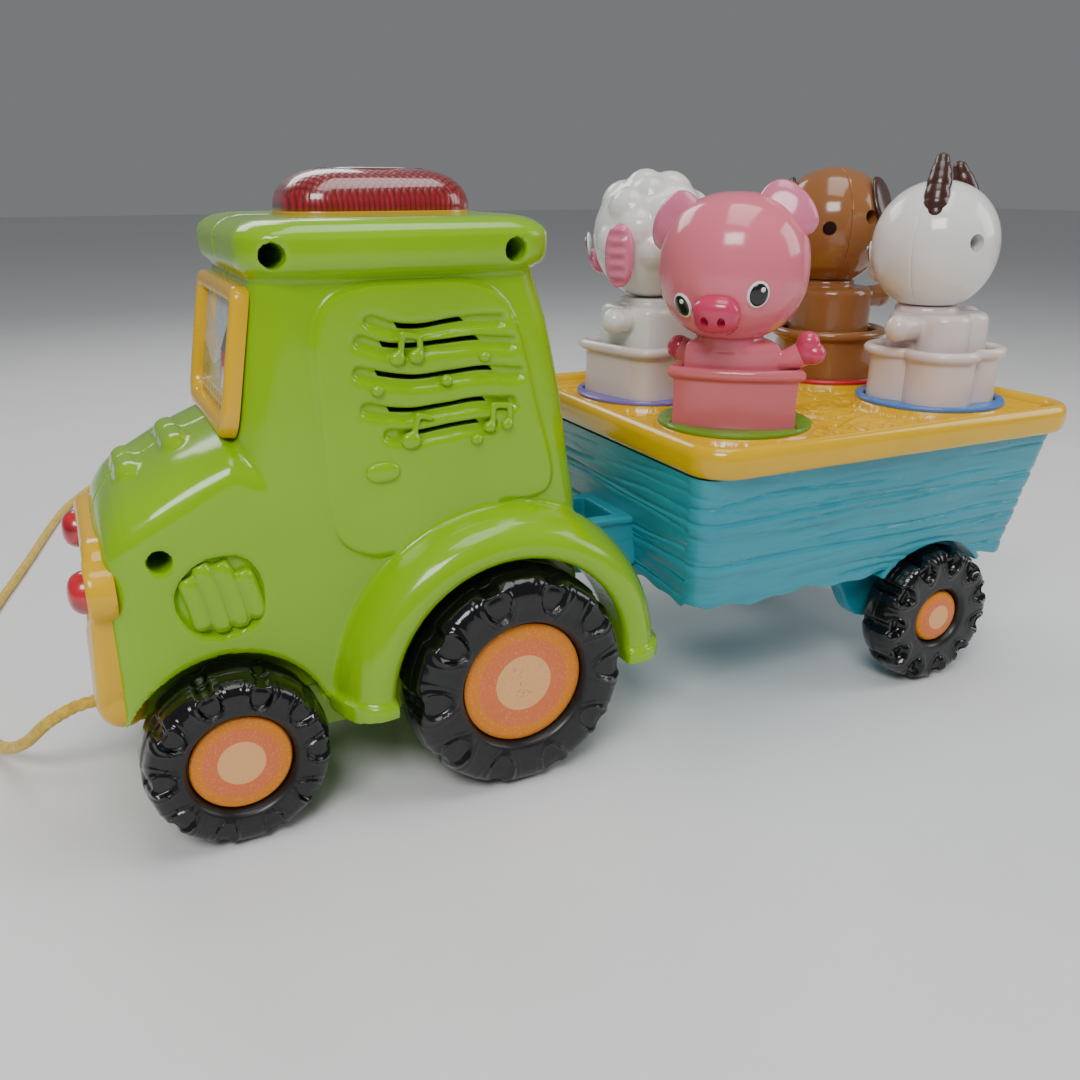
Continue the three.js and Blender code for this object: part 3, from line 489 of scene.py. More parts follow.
LIME = (0.25, 0.50, 0.0)
YELLOW = (0.80, 0.45, 0.0)
lime = plastic("lime_plastic", LIME,
               scuffs=[((0.0290, 0.0500, 0.0868), 0.0035), ((0.0245, 0.0500, 0.0862), 0.0032),
                                             ((0.0255, 0.0510, 0.0838), 0.003)])
lime_base = plastic("lime_base_plastic", darker(LIME, 0.92), rough=0.3, peel=0.12, coat=0.1)
yellow = plastic("yellow_plastic", YELLOW, rough=0.17, shift=0.9)
deck_yellow = plastic("deck_yellow_plastic", (0.80, 0.46, 0.0), rough=0.15, shift=0.84)
teal = wood_look("teal_wood_plastic", (0.025, 0.33, 0.43))
pink = plastic("pink_plastic", (0.78, 0.17, 0.235), rough=0.15, shift=0.93)
pink_deep = plastic("deep_pink_plastic", (0.62, 0.045, 0.12), rough=0.2)
pink_ear = plastic("ear_pink_plastic", (0.76, 0.20, 0.33), rough=0.2)
pink_cup = plastic("cup_pink_plastic", (0.72, 0.155, 0.19), rough=0.17)
white = plastic("white_plastic", (0.80, 0.79, 0.76), rough=0.14, shift=0.95)
cream = plastic("cream_plastic", (0.77, 0.66, 0.63), rough=0.2, shift=0.93)
brown = plastic("brown_plastic", (0.31, 0.125, 0.04), rough=0.15, shift=0.88)
dark_brown = plastic("dark_brown_plastic", (0.055, 0.018, 0.012), rough=0.3)
black = plastic("black_plastic", (0.012, 0.012, 0.014), rough=0.12)
eye_white = plastic("eye_white_plastic", (0.85, 0.85, 0.85), rough=0.15)
lamp_red = red_lens("lamp_red_plastic", False, (0.62, 0.006, 0.02))
beacon_red = red_lens("beacon_red_plastic", True, (0.30, 0.002, 0.008))
steel = metal("steel_metal")
rings_of = {
    "triangle": plastic("green_ring_plastic", (0.13, 0.33, 0.02), rough=0.3),
    "clover": plastic("blue_ring_plastic", (0.06, 0.20, 0.56), rough=0.3),
    "circle": plastic("red_ring_plastic", (0.60, 0.015, 0.03), rough=0.3),
    "square": plastic("purple_ring_plastic", (0.20, 0.15, 0.52), rough=0.3),
}

# ---- Camera and cord ----

camera = bpy.data.objects.new("camera", bpy.data.cameras.new("camera"))
scene.collection.objects.link(camera)
camera.location = (0.1612 + SHIFT / 1000, 0.3065, 0.1834)
yaw, pitch = -0.449, 0.348
aim = Vector((math.sin(yaw) * math.cos(pitch), -math.cos(yaw) * math.cos(pitch), -math.sin(pitch)))
camera.rotation_euler = aim.to_track_quat("-Z", "Y").to_euler()
camera.data.sensor_width = 36
camera.data.lens = 32.985
camera.data.clip_start = 0.01
scene.camera = camera


def cord_material():
    n = Nodes("cord_yarn")
    fibres = n.noise(2200, 3, 0.6)
    base = n.mix(n.span(n.noise(500, 3), 0.3, 0.7), (0.60, 0.36, 0.015), (0.86, 0.62, 0.06))
    base = n.mix(n.span(fibres, 0.3, 0.7, 0.0, 0.35), base, (0.42, 0.22, 0.01))
    n.set(base_color=base, roughness=n.span(fibres, 0.3, 0.7, 0.5, 0.75), normal=n.bump(fibres, 0.4, 0.0002),
          sheen_weight=0.3)
    return n.material


line = smooth_path(CORD_ROUTE, per=56)
steps = np.linalg.norm(np.diff(line, axis=0), axis=1)
run = np.concatenate([[0], np.cumsum(steps)])


def braid(angle, i):
    """Two sets of strands that wind opposite ways, each over and under the other."""
    turn = run[i] * 2 * math.pi / 9.0
    one, two = np.cos(3 * (angle - turn)), np.cos(3 * (angle + turn))
    return 0.86 + 0.14 * np.clip(np.maximum(one, two), 0, 1) ** 0.6


cord = tube("pull_cord_braid", line, CORD_R, 24, braid)
settle(cord, "tractor", cord_material(), ["pull_cord"], facet=0)
end, way = line[-1], (line[-1] - line[-2]) / np.linalg.norm(line[-1] - line[-2])
bead_profile = [(1.6, 3.2), (1.9, 0.9), (2.6, 0.4), (4.2, 1.1), (5.8, 2.4), (7.1, 4.5), (7.8, 6.8), (8, 8.4),
                (7.8, 10), (7.1, 12.3), (5.8, 14.4), (4.2, 15.7), (2.6, 16.4), (1.9, 16.1), (1.6, 13.6)]
bead = lathe("cord_bead_turned", bead_profile, "z", 64)
heading = Vector(way).to_track_quat("Z", "Y").to_matrix().to_4x4()
bead.data.transform(Matrix.Translation(Vector(end)) @ heading)
settle(bead, "tractor", yellow, ["cord_bead"])

# ---- Tractor body ----

CAB = np.array([(40, 14.5, 118, 38.5), (86, 16.6, 123.5, 38.5), (101, 19.2, 122.4, 38.5),
                (121, 22, 120.2, 38.5), (142, 26.2, 116.8, 38.2), (162, 32.3, 113.8, 37.7)])
HOOD = np.array([(14.5, 30, 60, 80), (17, 34.5, 62, 84), (24, 38.5, 66, 90), (118, 38.5, 100, 116),
                 (124, 38.5, 104, 117.5), (131, 38.5, 100, 114.8), (138, 38.5, 95.5, 111.8),
                 (146, 38.4, 91.5, 107.3), (152, 37.8, 88, 104), (155, 36.9, 86, 101.4),
                 (157.4, 35.6, 84, 98.2), (159.5, 34, 80, 95.0), (161.3, 29.5, 74, 89)])


def cab(inset):
    rings = []
    for z in np.linspace(40, 162 - inset, 32):
        rear, front, half = (np.interp(z, CAB[:, 0], CAB[:, k]) for k in (1, 2, 3))
        rings.append(level(rounded((front - rear) / 2 - inset, half - inset, 9 - inset), z,
                           (front + rear) / 2))
    return loft("cab", rings)


def hood(inset):
    rings = []
    for x in sorted(set(np.linspace(14.5 + inset, 161.3 - inset, 60)) | {152.0, 155.0, 157.4}):
        half, shoulder, crown = (np.interp(x, HOOD[:, 0], HOOD[:, k]) for k in (1, 2, 3))
        angle = np.linspace(0, math.pi, 33)
        across = np.sign(np.cos(angle)) * np.abs(np.cos(angle)) ** (2 / 3) * (half - inset)
        up = shoulder + np.sin(angle) ** (2 / 3) * (crown - shoulder - inset)
        floor = 36 - abs(inset)
        ys = np.concatenate([[-(half - inset)], [half - inset], across])
        zs = np.concatenate([[floor], [floor], up])
        rings.append(np.column_stack([np.full(len(ys), x), ys, zs]))
    return loft("hood", rings)


def roof(inset):
    edge = [(0, 4.6), (0.7, 2.6), (2, 1.0), (4, 0.2), (6, 0), (10, 0), (11.6, 0.8), (13.2, 2.6), (14.3, 5.0),
            (14.9, 8.5)]
    rings = []
    for up, shrink in edge:
        z = min(max(ROOF["bottom"] + up, ROOF["bottom"] + inset), ROOF["top"] - inset)
        outline = rounded(ROOF["hx"] - shrink - inset, ROOF["hy"] - shrink - inset, ROOF["corner"] - inset)
        rings.append(level(outline, z, ROOF["x"]))
    return loft("roof", rings)


def arch(name, profile, start, stop, steps=72):
    """A section of [radius, y] points swept about the rear hub from one angle to another."""
    rings = []
    for angle in np.linspace(math.radians(start), math.radians(stop), steps):
        rings.append([(REAR["x"] + r * math.cos(angle), y, REAR["r"] - 1 + r * math.sin(angle)) for r,
                      y in profile])
    return loft(name, rings)


def sound_rows():
    """The middle line of each wavy sound slot, front to rear."""
    rows = [
        [(84, 147.2), (77, 144.8), (70, 144.1), (62.5, 144.9), (54.5, 145.6), (45.5, 145.5)],
        [(87.2, 142), (81, 139.8), (73.5, 138.9), (62.7, 139.4), (52.5, 139.8), (42, 138.8)],
        [(88, 133.4), (81.3, 131.5), (72.4, 130), (63, 130.3), (51, 131), (39.5, 129.6)],
        [(86.4, 123.1), (79, 121.2), (72.8, 120.6), (63.4, 121.1), (53, 121.9), (42, 121)],
        [(80, 115), (71.5, 113.9), (63.6, 114.7), (53, 115.4), (48.5, 115.2)],
    ]
    return [smooth_path(row, per=10) for row in rows]


def band(row, half_width, lift=0.0, lean=0.0):
    """An outline round a stretch of a row, with round ends, or pointed ones where lean is set."""
    way = np.gradient(row, axis=0)
    way /= np.linalg.norm(way, axis=1)[:, None]
    side = np.column_stack([-way[:, 1], way[:, 0]])
    side *= np.sign(side[:, 1:2])
    upper, lower = row + side * (lift + half_width), row + side * (lift - half_width)
    if lean:
        lower[0] += way[0] * lean
        upper[-1] -= way[-1] * lean
        return np.vstack([upper, lower[::-1]])
    caps = []
    for tip, direction, start in ((row[-1], way[-1], side[-1]), (row[0], -way[0], -side[0])):
        turn = np.linspace(0, math.pi, 9)[1:-1]
        caps.append([tip + half_width * (math.cos(t) * start + math.sin(t) * direction) for t in turn])
    return np.vstack([upper, caps[0], lower[::-1], caps[1]])


def both(make):
    """A part on the left, and its mirror image on the right."""
    left = make()
    return [left, mirror(left, left.name + "_r")]


def make_body():
    fender = [(39.5, 36), (39.5, 50.3), (40.2, 51.9), (41.8, 53), (44.5, 53.3), (47, 52.7), (49.3, 51.3),
              (51.2, 49), (52.9, 45.8), (54.2, 42), (55, 38), (55, 36)]
    lip = [(39.3, 36), (39.3, 54.0), (42, 54.9), (45.5, 54.9), (49.5, 53.4), (52.6, 50.3), (54.8, 46),
           (56.2, 41), (56.8, 37.5), (56.8, 36)]
    panel = smooth_path([(97.6, 90), (99, 120), (98.8, 146), (96, 152.5), (89, 156), (72, 157), (54, 156.4),
                         (45.5, 153), (40.5, 145), (34, 120), (28.8, 99.5), (29.6, 93.6), (34, 91.2),
                         (44.5, 91), (54, 89.6), (64, 86.6), (74, 82), (80.5, 79.3), (88, 80), (94.5, 83.8)],
                         4, True)
    parts = [hood(0), roof(0)]
    parts += both(lambda: arch("fender", fender, -1, 181))
    parts += both(lambda: arch("lip_front", lip, -3.6, 2.4, 6))
    parts += both(lambda: arch("lip_rear", lip, 177.6, 183.6, 6))
    parts += both(lambda: side_slab("panel", panel, 34, 39.9))
    for x, reach, raised in ((148.6, 14.5, 2.7), (135.2, 16, 2.7)):
        parts.append(tube("bump",
                          [(x, y, hood_height(x, y) + raised - 4.4) for y in np.linspace(-reach, reach, 15)],
                          [2.8, 3.9] + [4.4] * 11 + [3.9, 2.8], 20))
    shell = boolean(cab(0), parts, "UNION")
    hollow = boolean(cab(WALL), [hood(WALL), roof(WALL)], "UNION")
    lining = [rod("lining", "y", 41.9, 20, (REAR["x"], s * 41, 36), 64) for s in (1, -1)]
    lining += [rod("lining", "y", 31.6, 20, (FRONT["x"], s * 36.6, 26.75), 64) for s in (1, -1)]
    lining += [rod("boss", "y", 5.4, 78, (x, 0, z), 32) for x, z in SCREWS]
    lining += [block("vent_back", 116, 147, s * 35 - 2.2, s * 35 + 2.2, 58, 90) for s in (1, -1)]
    boolean(hollow, lining)
    hole = rounded(BEACON["hx"] + 0.5, BEACON["hy"] + 0.5, 12)
    vent = smooth_path([(143.2, 75), (141.3, 80), (136.5, 84.2), (129.5, 85.8), (123.4, 84), (119.9, 78.5),
                        (119.4, 70), (121.6, 64.8), (127, 62.6), (133.5, 62), (139.2, 65), (142.4, 70)], 4,
                        True)
    tools = [rod("well", "y", 39.4, 60, (REAR["x"], s * 63.5, 36), 96) for s in (1, -1)]
    tools += [rod("well", "y", 29.2, 60, (FRONT["x"], s * 59, 26.75), 96) for s in (1, -1)]
    tools.append(loft("lens_hole", [level(hole, z, BEACON["x"]) for z in (166, 190)]))
    tools.append(block("hitch_room", 8, 30, -19, 19, 35, 74))
    tools += [rod("screw_hole", "y", 3.25, 60, (x, 38.6, z), 48) for x, z in SCREWS]
    tools += [hollow] + both(lambda: side_slab("vent", vent, 36.1, 46))
    rows = sound_rows()
    tools += [side_slab("slot", band(row, 2.15), 38.2, 46) for row in rows]
    boolean(shell, tools)
    twin = shell.copy()
    twin.data = shell.data.copy()
    scene.collection.objects.link(twin)
    halves = []
    for half, near, far in ((shell, 0.04, 90), (twin, -90, -0.04)):
        boolean(half, [block("side", -40, 200, near, far, 0, 220)], "INTERSECT")
        half.name = "body_shell_left" if near > 0 else "body_shell_right"
        halves.append(melt(half, 0.86, 1))
    slits = []
    for row, (a, b) in zip(rows, ((9, 39), (8, 42), (6, 44), (7, 44), (9, 33))):
        slits.append(side_slab("slit", band(row[a:b], 0.8, 1.15, 1.6), 30, 46))
    boolean(halves[0], slits)
    return halves, rows


def hood_height(x, y):
    half, shoulder, crown = (np.interp(x, HOOD[:, 0], HOOD[:, k]) for k in (1, 2, 3))
    return shoulder + (1 - (abs(y) / half) ** 3) ** (1 / 3) * (crown - shoulder)


def make_notes():
    """Music notes laid over the slots, and the button below them."""
    y = 40.1
    parts = []
    for x, z, r in ((50.7, 135.5, 1.9), (62.6, 129.6, 1.9), (83.2, 128.3, 2), (53.6, 111.3, 2),
                    (77, 136.8, 2.4), (71.4, 137, 2.4), (74, 113, 3), (49.5, 114.6, 2), (43.8, 114.8, 2)):
        parts.append(ball("note", (r, 1.6, r * 0.9), (x, y, z), segments=24))
    for row in ([(75.9, 137.4), (75.3, 143.4), (70.2, 142.3), (70, 137.4)],
                [(73, 114.4), (71.6, 120.2), (67.8, 119.2)],
                [(48.4, 115), (48.1, 121), (42.7, 120.4), (42.8, 115)]):
        for a, b in zip(row, row[1:]):
            parts.append(tube("stem", [(x, y - 0.2, z) for x, z in (a, b)], 0.95, 12))
            parts.append(ball("joint", (0.97, 0.97, 0.97), (b[0], y - 0.2, b[1]), segments=12))
    parts.append(ball("button", (5.1, 1.5, 3.1), (82.8, 40, 104.6), segments=40, power=2.4))
    return melt(merge("sound_notes", parts), 0.4, 1)


def make_ribs():
    parts = []
    for xb, low, high in ((121, 65.6, 80.6), (126, 63.8, 83.8), (131.1, 63.2, 84), (136.1, 64.6, 80.6)):
        spine = [(xb + 5 * max((z - 62) / 23, 0) ** 1.6, 36.2, z) for z in np.linspace(low, high, 14)]
        parts.append(tube("rib", spine, [2.2, 2.9] + [3.1] * 10 + [2.9, 2.2], 20))
    return melt(merge("vent_ribs", parts), 0.4, 1)


(half_left, half_right), rows = make_body()
settle(half_left, "tractor", lime, ["body_left"])
settle(half_right, "tractor", lime, ["body_right"])
settle(make_notes(), "tractor", lime)
ribs = make_ribs()
settle(mirror(ribs, "vent_ribs_right"), "tractor", lime)
settle(ribs, "tractor", lime)

# ---- Nose, windscreen and beacon ----


def make_nose():
    bulge = lambda z: max(0.0, 70 - z) * 0.09
    upright = lambda outline, x: np.array([(x + bulge(64.5 + v), u, 64.5 + v) for u, v in outline])
    plate = loft("plate", [upright(rounded(33 - s, 26.5 - s, 11 - s), NOSE_X + x)
                           for s, x in ((0, -4), (0, 1.2), (0.6, 2.4), (1.9, 3.2))])
    boolean(plate, [loft("recess", [upright(rounded(26.5, 20, 7), NOSE_X + x) for x in (1.2, 9)])])
    parts = [plate]
    for z in (53, 61, 69, 77):
        parts.append(rod("bar", "y", 1.4, 56, (NOSE_X + 1.2 + bulge(z), 0, z), 16))
    for side in (1, -1):
        rim = [(0.01, -4), (8.8, -4), (8.8, 2.6), (8.3, 3.5), (7.4, 3.8), (6.6, 3.4), (6.5, 2.5), (0.01, 2.5)]
        parts.append(lathe("housing", rim, "x", 64, (NOSE_X, side * LAMP["y"], LAMP["z"])))
    rings = []
    for y, r in ((-32.8, 0.4), (-32.3, 3.6), (-30.6, 5.7), (-28, 6.8), (-24, 7.2), (24, 7.2), (28, 6.8),
                 (30.6, 5.7), (32.3, 3.6), (32.8, 0.4)):
        turn = np.linspace(0, 2 * math.pi, 32, endpoint=False)
        rings.append(np.column_stack([NOSE_X - 1.4 + r * 1.05 * np.cos(turn), np.full(32, y),
                                      43 + r * 1.25 * np.sin(turn)]))
    parts.append(loft("roll", rings))
    gland = [(0.01, -1), (3.6, -1), (3.6, 4.8), (3.1, 5.8), (2.3, 6.1), (2.1, 5.2), (0.01, 5)]
    parts.append(lathe("gland", gland, "x", 40, (NOSE_X, 0, 32.4)))
    return melt(merge("nose", parts), 0.7, 2)


settle(make_nose(), "tractor", yellow, ["grille_bumper"])
for side, word in ((1, "left"), (-1, "right")):
    dome = [(0.01, 2.4), (6.15, 2.4), (6.2, 3.6), (5.9, 4.9), (5.1, 6.4), (3.9, 7.4), (2.2, 8.0), (0.01, 8.2)]
    lens = lathe("headlamp_" + word, smooth_path([(r, h, 0) for r, h in dome], 4)[:, :2], "x", 64,
                 (NOSE_X, side * LAMP["y"], LAMP["z"]))
    settle(lens, "tractor", lamp_red, ["headlamp_lens_" + word])

lean_back = Matrix.Translation((122.2, 0, 137)) @ Matrix.Rotation(-0.175, 4, "Y")


def screen_ring(inset, x):
    hy, hz = 33 - inset, 21 - inset
    low, top = max(9 - inset * 0.5, 3), max(5 - inset * 0.5, 2)
    corners = []
    for y, z, cut in ((-hy, -hz, low), (hy, -hz, low), (hy, hz, top), (-hy, hz, top)):
        first, last = (y, z - math.copysign(cut, z)), (y - math.copysign(cut, y), z)
        if y * z < 0:
            first, last = last, first
        for t in np.linspace(0, 1, 9):
            mid = (y, z)
            corners.append([(1 - t) ** 2 * f + 2 * t * (1 - t) * m + t * t * l for f, m,
                            l in zip(first, mid, last)])
    return np.array([(x, y, z) for y, z in corners])


frame_profile = [(0, -4.6), (0, -1.6), (0.4, -0.7), (1.2, -0.1), (2.2, 0), (3.4, -0.1), (4.4, -0.6),
                 (4.9, -1.5), (5.1, -2.6), (5.2, -4.6)]
screen = loft("windscreen", [screen_ring(s, x) for s, x in frame_profile], around=True)
screen.data.transform(lean_back)
settle(screen, "tractor", yellow, ["windscreen_frame"])
card = loft("windscreen_picture", [screen_ring(s, x) for s, x in ((5, -4.2), (5, -3.4), (5.3, -3.2))])
card.data.transform(lean_back)


def farm_print():
    """Pale sky, a sun, two hills, a barn with a roof and a fence, in the soft colours of a faded print."""
    n = Nodes("screen_print")
    parts = n.add("ShaderNodeSeparateXYZ", {0: n.place()})
    y, z = parts.outputs[1], parts.outputs[2]
    base = n.mix(n.span(z, 0.125, 0.155), (0.66, 0.68, 0.66), (0.42, 0.53, 0.62))
    haze = n.noise(70, 4, 0.6)
    base = n.mix(n.span(haze, 0.5, 0.7, 0.0, 0.5), base, (0.78, 0.78, 0.75))
    sun = n.distance_to((0.1205, -0.014, 0.148))
    base = n.mix(n.span(sun, 0.0042, 0.0046, 1.0, 0.0), base, (0.80, 0.62, 0.25))
    for high, pace, colour in ((0.1335, 170.0, (0.33, 0.42, 0.25)), (0.1285, 260.0, (0.22, 0.33, 0.14))):
        wave = n.math("MULTIPLY", n.math("SINE", n.math("MULTIPLY", y, pace)), 0.0022)
        edge = n.math("ADD", wave, high)
        base = n.mix(n.math("LESS_THAN", z, edge), base, colour)
    inside = lambda v, low, high: n.math("MULTIPLY", n.math("GREATER_THAN", v, low),
                                         n.math("LESS_THAN", v, high))
    wall = n.math("MULTIPLY", inside(y, 0.004, 0.017), inside(z, 0.127, 0.137))
    base = n.mix(wall, base, (0.42, 0.10, 0.07))
    slope = n.math("SUBTRACT", 0.1445, n.math("ABSOLUTE", n.math("SUBTRACT", y, 0.0105)))
    roofing = n.math("MULTIPLY", n.math("LESS_THAN", z, slope), n.math("GREATER_THAN", z, 0.137))
    base = n.mix(n.math("MULTIPLY", roofing, inside(y, 0.0025, 0.0185)), base, (0.16, 0.11, 0.10))
    door = n.math("MULTIPLY", inside(y, 0.0085, 0.0125), inside(z, 0.127, 0.133))
    base = n.mix(door, base, (0.62, 0.58, 0.5))
    for low, high in ((0.1222, 0.1230), (0.1250, 0.1258)):
        base = n.mix(inside(z, low, high), base, (0.62, 0.57, 0.48))
    posts = n.math("GREATER_THAN", n.math("SINE", n.math("MULTIPLY", y, 1100.0)), 0.86)
    base = n.mix(n.math("MULTIPLY", posts, inside(z, 0.1205, 0.1268)), base, (0.62, 0.57, 0.48))
    n.set(base_color=base, roughness=n.span(haze, 0.3, 0.7, 0.2, 0.35), coat_weight=0.4, coat_roughness=0.08)
    return n.material


settle(card, "tractor", farm_print(), ["windscreen_card"])

lens_side = smooth_path([(0.4, 170.6, 0), (0.2, 174, 0), (0, 177.3, 0), (1.2, 181, 0), (4.4, 184.3, 0),
                         (9, 186.3, 0), (13, 187, 0), (16.98, 187, 0)], 6)[:, :2]
lens = [level(rounded(28.5 - s, 17 - s, max(12 - s / 2, 0.7), 12), z, BEACON["x"]) for s, z in lens_side]
inner = [level(rounded(26.5 - s, 15 - s, max(10 - s / 2, 0.7), 12), z - 2, BEACON["x"]) for s,
         z in lens_side[::-1]
         if s < 13.5]
settle(loft("beacon_dome", lens + inner, around=True), "beacon", beacon_red,
       ["beacon_lens"])
gold = plastic("beacon_gold_line", (0.62, 0.33, 0.03), rough=0.25)
seat = [level(rounded(28.4 + s, 16.9 + s, 12 + s, 12), z, BEACON["x"])
        for s, z in ((0, 172.6), (0.28, 173.4), (0.28, 174.9), (0.1, 175.3), (-0.5, 175.2), (-0.5, 172.6))]
settle(loft("beacon_seat_line", seat, around=True), "beacon", gold)
# A cream oval on the top of the dome is a painted highlight: the reflection of the overhead light, made as a
# thin pale piece.
painted_highlight = lathe("beacon_cap_oval",
             [(0.01, 0), (0.93, 0), (0.98, 0.12), (1, 0.3), (0.97, 0.42), (0.9, 0.5), (0.01, 0.56)], "z", 96)
painted_highlight.data.transform(Matrix.Translation((BEACON["x"], 0, 186.75)) @ Matrix.Diagonal((11, 6.4, 1, 1)))
settle(painted_highlight, "beacon", cream)

low, high, turns = 151.4, 167.4, 4.5
coil = []
for t in np.linspace(0, 1, 150):
    angle = t * turns * 2 * math.pi
    coil.append((BEACON["x"] + 3.4 * math.cos(angle), 3.4 * math.sin(angle), low + t * (high - low)))
spring = settle(tube("beacon_coil", coil, 0.35, 12), "tractor", steel, ["beacon_spring"])
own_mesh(spring)

# ---- Wheels ----

RING_BANDS = [(0.0, (0.84, 0.42, 0.16)), (0.47, (0.72, 0.16, 0.045)), (0.76, (0.74, 0.22, 0.004))]


def make_wheel(word, side, kind, spec, body):
    r, w, lab = spec["r"], spec["width"], spec["label"]
    outer = [(r * 0.985, w - 7), (r * 0.968, w - 3.8), (r * 0.925, w - 1.4), (r * 0.86, w - 0.3),
             (r * 0.74, w)]
    outer = smooth_path([(r, 7, 0), (r, w - 8, 0)] + [(a, b, 0) for a, b in outer], 6)[:, :2].tolist()
    flat = [(a, w - 0.2 * (1 - a / (r * 0.74))) for a in np.arange(r * 0.735, lab + 3.4, -0.45)]
    lip = [(lab + 2.6, w + 0.0), (lab + 1.9, w - 0.2), (lab + 1.2, w - 1.2), (lab + 0.6, w - 2.6),
           (lab + 0.4, w - 4.2), (2.3, w - 4.2)]
    back = [(2.3, 2), (r * 0.6, 1), (r * 0.86, 0.6), (r * 0.925, 1.6), (r * 0.965, 3.4), (r * 0.992, 5.6)]
    profile = np.array(back + outer + flat + lip)
    wheel = lathe(f"{word}_wheel", profile, "y", 420 if kind != "trailer" else 300)
    verts = points_of(wheel)
    radius, turn = np.hypot(verts[:, 0], verts[:, 2]), np.arctan2(verts[:, 2], verts[:, 0])
    count = 11 if kind == "trailer" else 10
    step = 2 * math.pi / count
    off = (turn + 0.5 * step) % step - 0.5 * step
    tall, wide = (0.125, 0.150) if kind != "trailer" else (0.13, 0.17)
    centre = 0.80 * r
    u, v = radius * np.sin(off), radius * np.cos(off) - centre
    taper = 1 + 0.28 * v / (tall * r)
    shape = (np.abs(u / (wide * r * 0.82 * taper)) ** 2.4 + np.abs(v / (tall * r * 1.15)) ** 2.4) ** (1 / 2.4)
    face = np.clip((verts[:, 1] - (w - 9)) / 4, 0, 1) * (radius > lab + 3)
    ridge = np.exp(-((shape - 1.0) / 0.13) ** 2) * 0.75 + np.exp(-((shape - 1.45) / 0.1) ** 2) * 0.3
    sunk = 1 / (1 + np.exp((shape - 0.84) * 22))
    deep = 2.2 if kind == "trailer" else 0.95
    lift = face * (ridge - deep * sunk)
    notch = np.exp(-((np.abs(u) / (0.075 * r)) ** 4)) * np.clip((radius / r - 0.9) / 0.05, 0, 1)
    shoulder = np.clip((verts[:, 1] - (w - 13)) / 4, 0, 1) + np.clip((9 - verts[:, 1]) / 4, 0, 1)
    shrink = 1 - notch * shoulder * (1.5 if kind != "trailer" else 2.2) / r
    verts[:, 0] *= shrink
    verts[:, 2] *= shrink
    slope = np.clip((radius / r - 0.80) / 0.2, 0, 1)
    verts[:, 1] += lift * (1 - slope * 0.75)
    squeeze = 1 + lift * slope * 0.6 / np.maximum(radius, 1)
    verts[:, 0] *= squeeze
    verts[:, 2] *= squeeze
    verts[:, 1] = (verts[:, 1] + spec["face"] - w) * side
    verts[:, 0] += spec["x"]
    verts[:, 2] += r
    move_points(wheel, verts)
    if side < 0:
        wheel.data.flip_normals()
    middle = ((spec["x"] + SHIFT) / 1000, r / 1000)
    tyre = tyre_plastic(f"{word}_black_plastic", middle, r / 1000, 0.70 if kind != "trailer" else 0.5)
    settle(wheel, body, tyre, [f"{word}"], facet=50)
    crown = 2.2 if kind == "trailer" else 0.15
    base = spec["face"] - 3.7
    disc = [(0.01, base + 1 + crown)] + [(lab * t,
                                          base + 1 + crown * math.sqrt(max(1 - (t - 0.5) ** 2 * 4, 0)))
                                        for t in np.linspace(0.5, 0.97, 10)]
    disc += [(lab, base + 0.7), (lab, base - 0.2), (0.01, base - 0.2)]
    print_disc = lathe(f"{word}_label", disc, "y", 96, (spec["x"], 0, r), side)
    worn = kind == "rear"
    settle(print_disc, body, label(f"{word}_label_print", middle, lab / 1000, RING_BANDS, worn),
           [word.replace("wheel", "hub_disc")])


for kind, spec in (("front", FRONT), ("rear", REAR), ("trailer", TRAILER)):
    for side, word in ((1, "left"), (-1, "right")):
        make_wheel(f"{kind}_wheel_{word}", side, kind, spec, f"{kind}_wheelset")

# ---- Trailer ----


